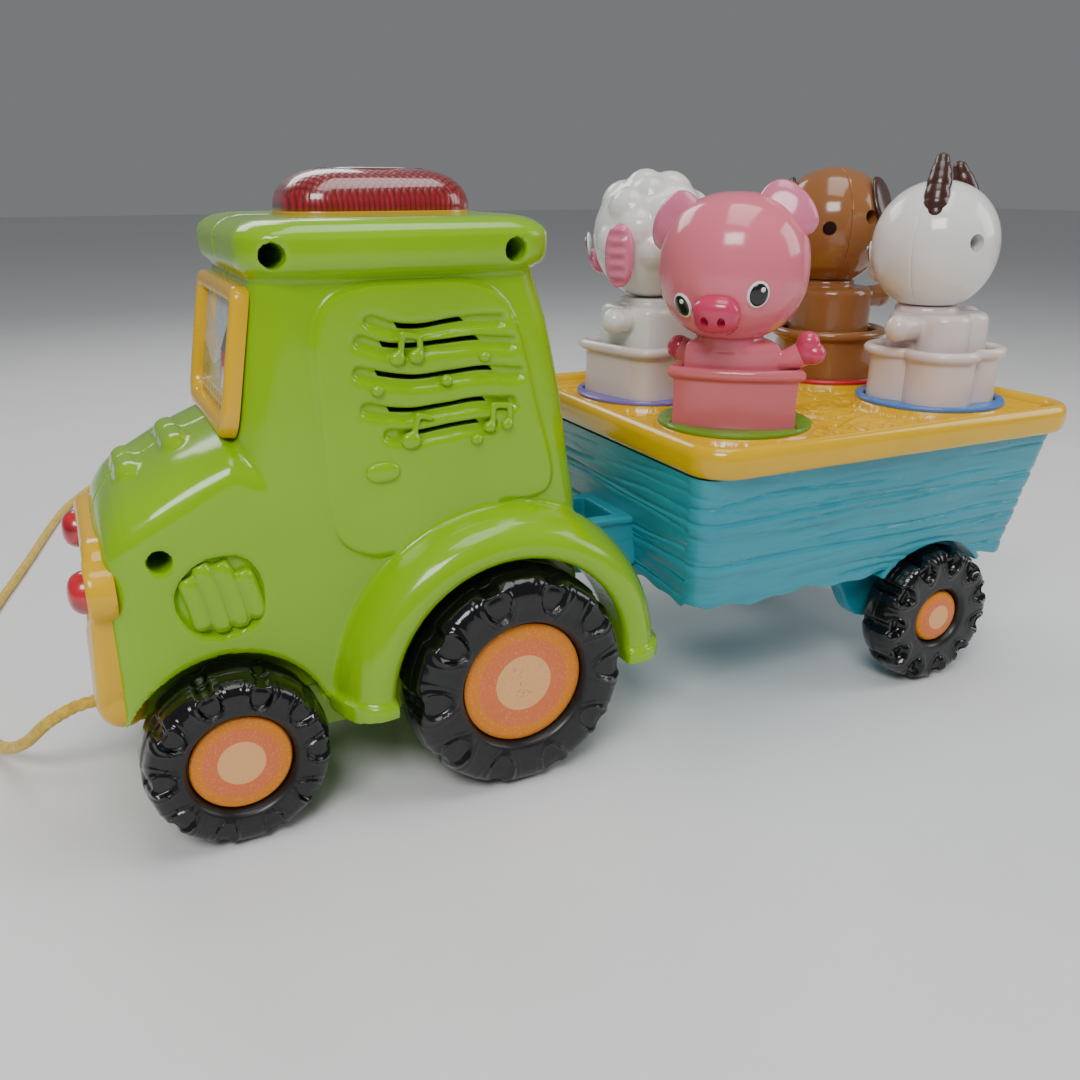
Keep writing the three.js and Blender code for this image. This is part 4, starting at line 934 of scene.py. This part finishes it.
def make_tub():
    """Planked sides with a carved wavy grain: one skin, up the outside and down the inside."""
    edge_points = 620
    rings = []
    heights = np.arange(TUB["bottom"], TUB["top"] + 0.01, 0.62 * COARSE)

    def outline(z, inset):
        t = (z - TUB["bottom"]) / (TUB["top"] - TUB["bottom"])
        x0, x1 = TUB["rear"] + TUB["tr"] * (1 - t) + inset, TUB["front"] - TUB["tf"] * (1 - t) - inset
        half = TUB["half_bottom"] + (TUB["half_top"] - TUB["half_bottom"]) * t - inset
        corner = rounded((x1 - x0) / 2, half, 8 - inset, 16)
        closed = np.vstack([corner, corner[:1]])
        run = np.concatenate([[0], np.cumsum(np.linalg.norm(np.diff(closed, axis=0), axis=1))])
        at = np.linspace(0, run[-1], edge_points, endpoint=False)
        flat = np.column_stack([np.interp(at, run, closed[:, k]) for k in (0, 1)])
        return flat + ((x1 + x0) / 2, 0), at

    lines = []
    for z0 in np.arange(TUB["bottom"] + 3, TUB["top"] - 2, 3.1):
        a, b, c = rng.uniform(0, 6.28, 3)
        lines.append((z0, rng.uniform(0.6, 1.9), rng.uniform(0.7, 1.5), a, b, c, rng.uniform(0.3, 0.75)))
    for z in heights:
        flat, at = outline(z, 0)
        cut = np.zeros(edge_points)
        for z0, swing, pace, a, b, c, deep in lines:
            path = z0 + swing * np.sin(at * 0.035 * pace + a) + 0.6 * np.sin(at * 0.11 + b)
            fade = np.clip(np.sin(at * 0.021 * pace + c) * 1.6 + 0.8, 0, 1)
            cut = np.maximum(cut, np.exp(-((z - path) / 0.62) ** 2) * deep * fade)
        for z0 in (62.5, 79.5):
            path = z0 + 0.8 * np.sin(at * 0.05 + z0)
            cut = np.maximum(cut, np.exp(-((z - path) / 0.8) ** 2) * 0.8)
        plank = 0.5 + 0.5 * np.sin((z - 46) / 16.7 * 2 * math.pi - 1.2)
        cut += 0.25 * plank
        way = np.roll(flat, -1, 0) - np.roll(flat, 1, 0)
        way /= np.linalg.norm(way, axis=1)[:, None]
        normal = np.column_stack([way[:, 1], -way[:, 0]])
        ring = flat - normal * cut[:, None]
        scallop = (0.9 * np.sin(at * 0.16) + 0.7 * np.sin(at * 0.37 + 1)) * max(0.0, 1 - (z - 46) / 5)
        rings.append(np.column_stack([ring, z + 0.9 + scallop * 0.8 - 0.9 * (z - 46) / 50]))
    inside = []
    for z in np.linspace(TUB["top"], TUB["bottom"] + 3.4, 6):
        flat, _ = outline(z, 3.2)
        inside.append(np.column_stack([flat, np.full(edge_points, z)]))
    tub = loft("tub", rings + inside)
    tools = [rod("well", "y", 29.1, 40, (TRAILER["x"], s * 64.4, 26.9), 96) for s in (1, -1)]
    boolean(tub, tools)
    return tub


def make_chassis():
    """The axle carriers under the tub, and the drawbar with its open window and top flange."""
    x = TRAILER["x"]
    parts = []
    for side in (1, -1):
        carrier = [(x - 27, 50), (x - 25, 40), (x - 20, 24), (x + 22, 24), (x + 31, 36), (x + 38, 50)]
        parts.append(side_slab("carrier", smooth_path(carrier, 4, True), side * 35, side * 41.6))
        lining = [(r, h) for r, h in ((29.1, 0), (31.3, 0), (31.3, 11), (29.1, 11))]
        turn = np.linspace(math.radians(36), math.radians(144), 40)
        rings = [[(x + r * math.cos(t), side * (44.4 + h), 26.9 + r * math.sin(t)) for r,
                  h in lining] for t in turn]
        parts.append(loft("well_lining", rings))
    carriers = melt(merge("trailer_carriers", parts), 0.8, 1)
    eye = [(28 + 7.5 * math.cos(t), 7.5 * math.sin(t)) for t in np.linspace(-2.1, 2.1, 19)]
    outline = [(-18, -16), (6, -15)] + eye + [(6, 15), (-18, 16)]
    wide = [(-18, -17),
            (6.6, -16)] + [(28 + 8 * math.cos(t), 8 * math.sin(t)) for t in np.linspace(-2.1, 2.1, 19)]
    wide += [(6.6, 16), (-18, 17)]
    bar = loft("drawbar", [level(outline, z) for z in (51, 70)])
    flange = loft("flange", [level(wide, z) for z in (67.6, 69.4)])
    window = [(-10.5, -11), (4.5, -10), (15.5, 0), (4.5, 10), (-10.5, 11)]
    gap = loft("window", [level(window, z) for z in (40, 80)])
    bar = boolean(bar, [flange], "UNION")
    boolean(bar, [gap, rod("eye", "z", 2.75, 80, (28, 0, 60), 40)])
    return carriers, melt(bar, 0.6, 1)


def peg_outline(figure, r, count=120):
    a = np.arange(count) / count * 2 * math.pi
    if figure["peg"] == "circle":
        reach = np.full(count, float(r))
    elif figure["peg"] == "square":
        reach = r * 0.93 / (np.abs(np.cos(a)) ** 5 + np.abs(np.sin(a)) ** 5) ** 0.2
    elif figure["peg"] == "triangle":
        off = a % (2 * math.pi / 3) - math.pi / 3
        reach = r * 0.68 / (0.62 * np.cos(math.pi / 3 - np.abs(off)) + 0.38)
    else:
        off = a % (math.pi / 2) - math.pi / 4
        lobe = 0.46 * r
        reach = lobe * np.cos(off) + np.sqrt((r - lobe) ** 2 - (lobe * np.sin(off)) ** 2)
    a = a + math.radians(figure["turn"])
    return np.column_stack([reach * np.cos(a), reach * np.sin(a)])


def peg_reach(figure, x, y, r):
    """How far a point lies outside a peg's outline: below zero inside."""
    dx, dy = x - figure["x"], y - figure["y"]
    outline = peg_outline(figure, r, 720)
    angles = np.arctan2(outline[:, 1], outline[:, 0])
    order = np.argsort(angles)
    reach = np.hypot(outline[:, 0], outline[:, 1])[order]
    return np.hypot(dx, dy) - np.interp(np.arctan2(dy, dx), angles[order], reach, period=2 * math.pi)


def make_deck():
    """A rolled rim round a floor of straw in relief, with a raised collar round each socket."""
    middle = (RIM["x0"] + RIM["x1"]) / 2
    hx = (RIM["x1"] - RIM["x0"]) / 2
    low, top = RIM["bottom"], RIM["top"]
    roll = smooth_path([(5.4, top - 5.2, 0), (5.2, top - 2.2, 0), (4, top - 0.5, 0), (2.6, top, 0),
                        (1.1, top - 0.7, 0), (0.15, top - 2.6, 0), (0, top - 5, 0), (0.5, low + 1.4, 0),
                        (1.4, low + 0.2, 0), (2.6, low, 0), (3.4, low + 1.6, 0), (3.8, low + 3, 0)], 5)[:, :2]
    rim = loft("deck_rim",
               [level(rounded(hx - s, RIM["hy"] - s, 13 - s * 0.6, 14), z, middle) for s, z in roll],
               around=True)
    pitch = 0.72 * COARSE
    xs = np.arange(RIM["x0"] + 4.4, RIM["x1"] - 4.3, pitch)
    ys = np.arange(-RIM["hy"] + 4.4, RIM["hy"] - 4.3, pitch)
    X, Y = np.meshgrid(xs, ys, indexing="ij")
    Z = np.full(X.shape, DECK["floor"])
    for _ in range(620):
        cx, cy = rng.uniform(xs[0], xs[-1]), rng.uniform(ys[0], ys[-1])
        way, long = rng.uniform(0, math.pi), rng.uniform(4, 9)
        thick, high = rng.uniform(0.9, 1.7), rng.uniform(0.5, 1.5)
        near = (np.abs(X - cx) < long + 2) & (np.abs(Y - cy) < long + 2)
        along = (X[near] - cx) * math.cos(way) + (Y[near] - cy) * math.sin(way)
        bend = 0.02 * along ** 2 * (1 if rng.random() < 0.5 else -1)
        side = -(X[near] - cx) * math.sin(way) + (Y[near] - cy) * math.cos(way) + bend
        leaf = thick * np.sqrt(np.clip(1 - (along / long) ** 2, 0, 1)) + 1e-6
        dome = np.sqrt(np.clip(1 - (side / leaf) ** 2, 0, 1))
        Z[near] = np.maximum(Z[near], DECK["floor"] + high * dome)
    edge = np.minimum.reduce([X - RIM["x0"], RIM["x1"] - X, Y + RIM["hy"], RIM["hy"] - Y]) - 5.0
    Z = np.maximum(Z, DECK["floor"] + 4.2 * np.exp(-np.clip(edge, 0, 40) / 1.6))
    for figure in FIGURES.values():
        far = np.hypot(X - figure["x"], Y - figure["y"])
        rise = np.clip((figure["collar"] + 1.6 - far) / 1.9, 0, 1)
        rise = rise * rise * (3 - 2 * rise)
        Z = np.where(far < figure["collar"] + 1.6,
                     np.maximum(Z * (1 - rise) + DECK["collar"] * rise, DECK["floor"]), Z)
    for figure in FIGURES.values():
        Z = np.where(peg_reach(figure, X, Y, figure["r"] + 1.5) < 0, DECK["well"] + 1.8, Z)
    nx, ny = X.shape
    grid = np.arange(nx * ny).reshape(nx, ny)
    quads = np.stack([grid[:-1, :-1], grid[1:, :-1], grid[1:, 1:], grid[:-1, 1:]], -1).reshape(-1, 4)
    cx, cy = X[:-1, :-1].ravel() + pitch / 2, Y[:-1, :-1].ravel() + pitch / 2
    qx, qy = np.abs(cx - middle) - (hx - 13), np.abs(cy) - (RIM["hy"] - 13)
    quads = quads[~((qx > 0) & (qy > 0) & (np.hypot(qx, qy) > 13 - 3.4))]
    under = np.where(Z < DECK["floor"] - 2, DECK["well"], DECK["floor"] - 1.8)
    verts = np.vstack([np.column_stack([X.ravel(), Y.ravel(), Z.ravel()]),
                       np.column_stack([X.ravel(), Y.ravel(), under.ravel()])])
    edges = {(a, b) for quad in quads.tolist() for a, b in zip(quad, quad[1:] + quad[:1])}
    n = nx * ny
    skirt = [[b, a, a + n, b + n] for a, b in sorted(edges) if (b, a) not in edges]
    faces = quads.tolist() + (quads[:, ::-1] + n).tolist() + skirt
    mesh = bpy.data.meshes.new("deck_floor")
    mesh.from_pydata(verts.tolist(), [], faces)
    floor = bpy.data.objects.new("deck_floor", mesh)
    scene.collection.objects.link(floor)
    bm = bmesh.new()
    bm.from_mesh(mesh)
    bmesh.ops.delete(bm, geom=[v for v in bm.verts if not v.link_faces], context="VERTS")
    bm.to_mesh(mesh)
    bm.free()
    return rim, floor


def make_socket_wall(figure):
    at = lambda grow, z: level(peg_outline(figure, figure["r"] + grow), z, figure["x"], figure["y"])
    low = DECK["well"] + 1
    rings = [at(0.9, low), at(0.9, 103.6), at(1.1, 104.1), at(2.6, 104.1), at(2.6, low)]
    return loft("wall_" + figure["peg"], rings, around=True)


def make_socket_ring(figure):
    hole, edge = peg_outline(figure, figure["r"] + 0.9), []
    angle = np.arctan2(hole[:, 1], hole[:, 0])
    disc = np.column_stack([np.cos(angle), np.sin(angle)]) * figure["collar"]
    middle, hx = (RIM["x0"] + RIM["x1"]) / 2, (RIM["x1"] - RIM["x0"]) / 2
    room = [(-hx + middle + 9.9 - figure["x"], hx + middle - 9.9 - figure["x"]),
            (-RIM["hy"] + 9.9 - figure["y"], RIM["hy"] - 9.9 - figure["y"])]
    wide = np.column_stack([np.clip(disc[:, k], *room[k]) for k in (0, 1)])
    at = lambda t, z: level(hole * (1 - t) + wide * t, z, figure["x"], figure["y"])
    return loft("socket_" + figure["peg"],
                [at(0, 104.3), at(0, 105.1), at(0.12, 105.6), at(0.86, 105.6), at(1, 105.1),
                                            at(1, 104.3)], around=True)


tub = make_tub()
settle(tub, "trailer", teal, ["trailer_tub"])
for part in make_chassis():
    settle(part, "trailer", teal)
rim, floor = make_deck()
settle(rim, "trailer", deck_yellow, ["trailer_deck"])
settle(floor, "trailer", deck_yellow, facet=60)
for figure in FIGURES.values():
    settle(make_socket_ring(figure), "trailer", rings_of[figure["peg"]],
           ["socket_ring_" + figure["peg"]])
    settle(make_socket_wall(figure), "trailer", deck_yellow)

# ---- Animal figures ----

COATS = {"pig": (pink, pink_cup, "pink_plastic"), "goat": (cream, cream, "cream_plastic"),
         "dog": (brown, brown, "brown_plastic"), "sheep": (white, cream, "white_plastic")}


def turned_to(first, third):
    """A rotation whose X lies along first, and whose Z is as near third as it can be."""
    x = Vector(first).normalized()
    y = Vector(third).cross(x).normalized()
    return Matrix((x, y, x.cross(y))).transposed()


class Head:
    """A figure's head, with places on its skin given by bearing and height from its middle."""

    def __init__(self, name, figure, power):
        self.name, self.figure, self.power = name, figure, power
        self.wide, self.high = figure["head"]
        self.middle = np.array([figure["x"] + figure["at"][0], figure["y"] + figure["at"][1], figure["z"]])
        self.body = "figure_" + name

    def reach(self, dz):
        return self.wide * max(1 - abs(dz / self.high) ** self.power, 0) ** (1 / self.power)

    def spot(self, bearing, dz, out=1.0, proud=0.0):
        a = math.radians(bearing)
        far = self.reach(dz) * out + proud
        return self.middle + (far * math.cos(a), far * math.sin(a), dz)

    def normal(self, bearing, dz):
        a = math.radians(bearing)
        r = max(self.reach(dz) / self.wide, 1e-3)
        slope = math.copysign(abs(dz / self.high) ** (self.power - 1), dz) * self.wide / self.high
        return Vector((r ** (self.power - 1) * math.cos(a), r ** (self.power - 1) * math.sin(a),
                       slope)).normalized()

    def skull(self, seam, floor):
        """The moulded ball, with its parting groove, flat below where it stands on its neck."""
        angles = set(np.linspace(0, 360, 120, endpoint=False).tolist())
        for line in (seam, seam + 180):
            angles |= {(line + d) % 360 for d in (-1.1, -0.7, -0.35, 0, 0.35, 0.7, 1.1)}
        angles = np.array(sorted(angles))
        apart = np.minimum(np.abs((angles - seam + 90) % 180 - 90), 9)
        t = np.sin(np.linspace(-math.pi / 2, math.pi / 2, 84))
        rings = []
        for h in t * self.high:
            if h < floor:
                h = floor
            r = self.reach(h) - 0.42 * np.exp(-((apart / 0.5) ** 2))
            a = np.radians(angles)
            rings.append(self.middle + np.column_stack([np.maximum(r, 0.02) * np.cos(a),
                                                        np.maximum(r, 0.02) * np.sin(a), np.full(len(a), h)]))
        return loft("head_" + self.name + "_skull",
                    rings[next(i for i, h in enumerate(t * self.high) if h > floor) - 1:])

    def patch(self, name, bearing, dz, radii, proud=0.0, roll=0.0, power=2.0):
        """A flattened ball laid on the skin: radii are across, up and out."""
        out = self.normal(bearing, dz)
        across = Matrix.Rotation(roll, 3, out) @ Vector((0, 0, 1)).cross(out).normalized()
        spin = turned_to(across, out)
        return ball(name, radii, Vector(self.spot(bearing, dz)) + out * proud, spin, 36, power)

    def keep(self, obj, material, replaces=(), facet=35):
        return settle(obj, self.body, material, replaces, facet)

    def eyes(self, bearings):
        for i, (bearing, dz) in enumerate(bearings):
            self.keep(self.patch(f"{self.name}_eye_ring_{i}", bearing, dz, (3.7, 4.3, 0.9)),
                      eye_white)
            self.keep(self.patch(f"{self.name}_eye_{i}", bearing, dz, (3.1, 3.7, 1.1), 0.25),
                      black)
            self.keep(self.patch(f"{self.name}_glint_{i}", bearing + 2.2, dz + 1.7, (0.8, 0.8, 0.4), 1.15),
                      eye_white)

    def hole(self, skull, bearing, dz, radius=3.0, deep=9.0):
        out = self.normal(bearing, dz)
        centre = Vector(self.spot(bearing, dz)) - out * (deep - 12) / 2
        tool = lathe("hole", [(0.01, -deep / 2 - 6), (radius, -deep / 2 - 6), (radius, deep / 2 + 6),
                              (0.01, deep / 2 + 6)], "z", 40)
        tool.data.transform(Matrix.Translation(centre - out * 3) @ turned_to((0, 0, 1), out).to_4x4())
        return tool


def make_cup(name, figure, material):
    low, top = 91.2, 125.0
    profile = smooth_path([(-0.8, low, 0), (0, low + 1.2, 0), (0, top - 5, 0), (0.5, top - 4.1, 0),
                           (2.0, top - 3.3, 0), (2.6, top - 2.3, 0), (2.5, top - 1.1, 0), (1.4, top - 0.1, 0),
                           (-0.4, top - 0.1, 0), (-1.6, top - 1, 0), (-1.8, top - 3, 0)], 4)[:, :2].tolist()
    rings = [level(peg_outline(figure, figure["r"] + s), z, figure["x"], figure["y"])
             for s, z in profile + [(-1.8, low + 2.6), (-3, low + 1.8)]]
    settle(loft(f"cup_{name}_moulded", rings), "cup_of_" + name, material, ["cup_" + name])


def make_torso(name, figure, head, material):
    x, y = figure["x"] + figure["off"][0], figure["y"] + figure["off"][1]
    small = figure["r"] * 0.77
    top = figure["shoulder"]
    sides = [(small - 0.5, 95), (small, 96), (small, top - 3.4), (small - 0.3, top - 1.8),
             (small - 1.1, top - 0.7), (small - 2.4, top - 0.1), (small - 6, top)]
    parts = [loft("torso", [level(peg_outline(figure, r), z, x, y) for r, z in sides])]
    hx, hy = head.middle[:2]
    foot = figure["z"] - head.high + 1.6
    if foot - top > 0.4:
        parts.append(lathe("neck", [(0.01, top - 3), (11.4, top - 3), (11.4, foot), (10.6, foot + 0.6),
                                    (0.01, foot + 0.6)],
                           "z", 64, (hx, hy, 0)))
    hoofs = []
    f = math.radians(figure["face"])
    for side in (1, -1):
        a = f + side * math.pi / 2
        at = lambda out, z, ahead=0.0: (x + out * math.cos(a) + ahead * math.cos(f),
                                        y + out * math.sin(a) + ahead * math.sin(f), z)
        if name == "pig" and side > 0:
            path = smooth_path([at(12, 125.4, 2), at(17.5, 126.6, 3.4), at(22.6, 129.2, 4.6),
                                at(25.6, 131, 5.2)], 6)
            parts.append(tube("arm", path, np.linspace(3.5, 4.3, len(path)), 24))
            hoofs += [ball("hoof", (3.6, 3.9, 3.6), at(27.2 - out, 132.0 + dz, 5.8), segments=28)
                      for out, dz in ((1.6, 2.0), (-0.6, -1.6))]
            hoofs.append(ball("hoof", (4.3, 4.6, 4.6), at(25.4, 131.0, 5.2), segments=28))
        elif name == "pig":
            path = smooth_path([at(10, 125, -3), at(15.5, 126.4, -5), at(19.4, 127.6, -6)], 6)
            parts.append(tube("arm", path, np.linspace(3.6, 4.4, len(path)), 24))
            hoofs.append(ball("hoof", (4.3, 4.3, 4.4), at(20.4, 127.9, -6.2), segments=28))
        else:
            path = smooth_path([at(12, top - 5.2), at(17, top - 5, 0.6), at(22.6, top - 4.8, 1.6)], 6)
            parts.append(tube("arm", path, np.linspace(4.4, 4.7, len(path)), 24))
            parts.append(ball("palm", (4.9, 4.9, 4.9), at(22.8, top - 4.8, 1.6), segments=32))
    torso = melt(merge(f"body_{name}_moulded", parts), 0.6, 1)
    settle(torso, "figure_" + name, material, ["body_" + name])
    if hoofs:
        settle(melt(merge("pig_hoofs", hoofs), 0.45, 2), "figure_" + name, pink_deep)


def make_pig(figure):
    head = Head("pig", figure, 2.25)
    head.keep(head.skull(132, -22.4), pink, ["head_pig"])
    ahead = np.array([math.cos(math.radians(42)), math.sin(math.radians(42)), 0.0])
    across = np.array([-ahead[1], ahead[0], 0])
    for out, dz, fall in ((16.2, 17.8, -0.42), (-20.2, 13.6, -0.85)):
        side = across * math.copysign(1, out)
        root = head.middle + across * out + (0, 0, dz) - ahead * 0.5
        long = Vector(side * 0.8 + np.array([0, 0, fall]))
        spin = turned_to(long, ahead + (0, 0, 0.45))
        ear = ball("ear", (10.4, 7.6, 3.9), root, spin, 64, 2.3)
        verts, middle = points_of(ear), root
        local = (verts - middle) @ np.array(spin)
        tip = np.clip(local[:, 0] / 10.4, -1, 1)
        local[:, 1] *= 1 - 0.25 * tip
        local[:, 2] += -2.6 * np.clip(tip, 0, 1) ** 2 + 1.2
        dish = np.exp(-((local[:, 0] / 6.4) ** 2 + (local[:, 1] / 5) ** 2)) * (local[:, 2] > 0)
        local[:, 2] -= 0.7 * dish
        move_points(ear, local @ np.array(spin).T + middle)
        head.keep(ear, pink_ear)
    head.eyes([(11, -10.8), (73, -6.4)])
    snout = head.patch("snout", 42, -12.2, (7.8, 6.1, 4.8), 1.2, power=2.5)
    holes = [head.patch("nostril", 42 + d, -12.2, (1.35, 2.0, 2.4), 5.2) for d in (-5.6, 5.6)]
    boolean(snout, holes)
    head.keep(snout, pink_deep)
    smile = [head.spot(b, dz, proud=0.05) for b, dz in ((50, -20.0), (54, -19.6), (58, -18.4), (61, -16.9))]
    head.keep(tube("pig_smile", smooth_path(smile, 6), 0.3, 10), pink_deep)
    return head


def make_goat(figure):
    head = Head("goat", figure, 2.06)
    skull = head.skull(24, -20.6)
    boolean(skull, [head.hole(skull, 82, 2.4), head.hole(skull, 261, 2.4)])
    head.keep(skull, white, ["head_goat"])
    across, back = np.array([0.982, 0.191, 0]), np.array([-0.191, 0.982, 0])
    for side in (1, -1):
        low, near = (0, 1) if side > 0 else (2.6, 0.72)
        root = [across * side * out * near + back * behind + (0, 0, z - low) + head.middle
                for out, behind, z in ((15, 8.2, 9.5), (13, 6.6, 16), (9.2, 4.6, 24.5), (5.8, 2.4, 32.2))]
        path = smooth_path(root, 14)
        sizes = np.interp(np.arange(len(path)), [0, 14, 28, 40, 42], [3.0, 4.3, 3.8, 2.0, 0.5])
        sizes *= 1 + 0.09 * np.abs(np.sin(np.arange(len(path)) * 0.45))
        head.keep(tube(f"goat_horn_{side + 1}", path, sizes, 32), dark_brown, facet=60)
    head.eyes([(281 - 27, -3), (281 + 27, -3)])
    head.keep(head.patch("goat_muzzle", 281, -9.5, (7.4, 5.4, 3.2), 0.8), cream)
    return head


def make_dog(figure):
    head = Head("dog", figure, 2.06)
    skull = head.skull(68, -20.6)
    boolean(skull, [head.hole(skull, 47, 0, 2.7), head.hole(skull, 90, 4.5, 2.7)])
    head.keep(skull, brown, ["head_dog"])
    for i, (bearing, roll) in enumerate(((-24, 0.45), (112, -0.3))):
        head.keep(head.patch(f"dog_ear_{i}", bearing, 10, (6.8, 10.4, 1.9), -0.1, roll, 2.3),
                  dark_brown)
    head.eyes([(254 - 27, -3), (254 + 27, -3)])
    head.keep(head.patch("dog_muzzle", 254, -9.5, (8.2, 6.2, 3.8), 0.8), cream)
    head.keep(head.patch("dog_nose", 254, -7, (2.9, 2.1, 2.2), 4.6), black)
    return head


def make_sheep(figure):
    head = Head("sheep", figure, 2.06)
    parts = [ball("core", (22.4, 22.4, 22.8), head.middle, segments=56)]
    golden = math.pi * (3 - math.sqrt(5))
    for i in range(40):
        h = 1 - 2 * (i + 0.5) / 40
        a = i * golden
        p = np.array([math.sqrt(1 - h * h) * math.cos(a), math.sqrt(1 - h * h) * math.sin(a), h])
        bearing = math.degrees(math.atan2(p[1], p[0]))
        front = abs((bearing - 298 + 180) % 360 - 180)
        if h < -0.42 or (front < 52 and h < 0.55):
            continue
        r = 8.2 + 0.9 * math.sin(i * 1.7)
        reach = (head.wide - r + 0.3, head.wide - r + 0.3, head.high - r + 0.2)
        parts.append(ball("curl", (r, r, r), head.middle + p * reach, segments=20))
    wool = melt(merge("sheep_wool", parts), 0.75, 2)
    head.keep(wool, white, ["head_sheep"], facet=0)
    for bearing in (31, 205):
        out = head.normal(bearing, -2)
        spin = turned_to((0, 0, 1), out)
        ear = ball("sheep_ear", (11.2, 5.6, 3.0), Vector(head.spot(bearing, -5.6)) + out * 1.8, spin, 96, 2.4)
        verts, middle = points_of(ear), np.array(Vector(head.spot(bearing, -5.6)) + out * 1.8)
        local = (verts - middle) @ np.array(spin)
        ripple = 0.42 * np.sin(local[:, 0] * 1.55) * np.clip(1 - (local[:, 1] / 4.6) ** 2, 0, 1)
        local[:, 2] += ripple * (local[:, 2] > 0)
        move_points(ear, local @ np.array(spin).T + middle)
        head.keep(ear, pink_ear, facet=60)
    head.eyes([(298 - 25, -3), (298 + 25, -3)])
    head.keep(head.patch("sheep_muzzle", 298, -9.5, (7.4, 5.4, 3.2), 0.2), pink_ear)
    return head


makers = {"pig": make_pig, "goat": make_goat, "dog": make_dog, "sheep": make_sheep}
for name, figure in FIGURES.items():
    coat, cup_coat, slot = COATS[name]
    head = makers[name](figure)
    make_torso(name, figure, head, coat)
    make_cup(name, figure, cup_coat)

# ---- The pieces left as the CAD drew them, mostly inside and underneath ----

board = plastic("board_green", (0.02, 0.12, 0.04), rough=0.4)
jacket = plastic("cell_jacket_grey", (0.08, 0.10, 0.13), rough=0.3)
speaker_black = plastic("speaker_black_paper", (0.02, 0.02, 0.02), rough=0.6)
left_over = {"base_plate": lime_base, "battery_door": lime_base, "circuit_board": board, "beacon_led": white,
             "beacon_plunger": white, "speaker": speaker_black, "power_switch": black}


def dress_nodes():
    """Gives each node still showing the material of its kind."""
    for node in [o for o in bpy.data.objects if o.type == "MESH" and not o.hide_render]:
        wanted = left_over.get(node.name)
        if wanted is None and node.name.startswith("battery_"):
            wanted = jacket
        metal = "screw" in node.name or "axle" in node.name or node.name in ("hitch_pin", "beacon_spring")
        if wanted is None and metal:
            wanted = steel
        if wanted is None or node.name.endswith("_moulded"):
            continue
        for slot in node.material_slots:
            slot.material = wanted


dress_nodes()

# ---- Table top and light ----


def pale_floor():
    n = Nodes("pale_floor")
    grain = n.noise(30, 3)
    n.set(base_color=n.mix(grain, (0.80, 0.80, 0.80), (0.84, 0.84, 0.84)),
          roughness=n.span(grain, 0.3, 0.7, 0.5, 0.6))
    return n.material


bpy.ops.mesh.primitive_plane_add(size=12, location=(0, 0, 0))
floor_plane = bpy.context.object
floor_plane.name = "studio_floor"
floor_plane.data.materials.append(pale_floor())
world = bpy.data.worlds.new("studio")
scene.world = world
world.use_nodes = True
world.node_tree.nodes["Background"].inputs[0].default_value = (0.93, 0.96, 1.0, 1)
world.node_tree.nodes["Background"].inputs[1].default_value = 0.2


def softbox(name, place, target, size, power, shape="RECTANGLE"):
    lamp = bpy.data.lights.new(name, "AREA")
    lamp.shape, lamp.energy = shape, power
    lamp.size, lamp.size_y = size
    made = bpy.data.objects.new(name, lamp)
    scene.collection.objects.link(made)
    made.location = place
    made.rotation_euler = (Vector(target) - Vector(place)).to_track_quat("-Z", "Y").to_euler()


softbox("window_key", (0.55, 0.75, 0.95), (0, 0, 0.08), (0.55, 0.4), 9.5)
softbox("ceiling", (-0.1, 0.1, 1.15), (0, 0, 0.05), (0.9, 0.5), 5.5)
softbox("far_fill", (-0.8, 0.35, 0.5), (0, 0, 0.08), (0.4, 0.5), 2.2)
softbox("back_rim", (0.1, -0.8, 0.7), (0, 0, 0.08), (0.6, 0.3), 2.4)
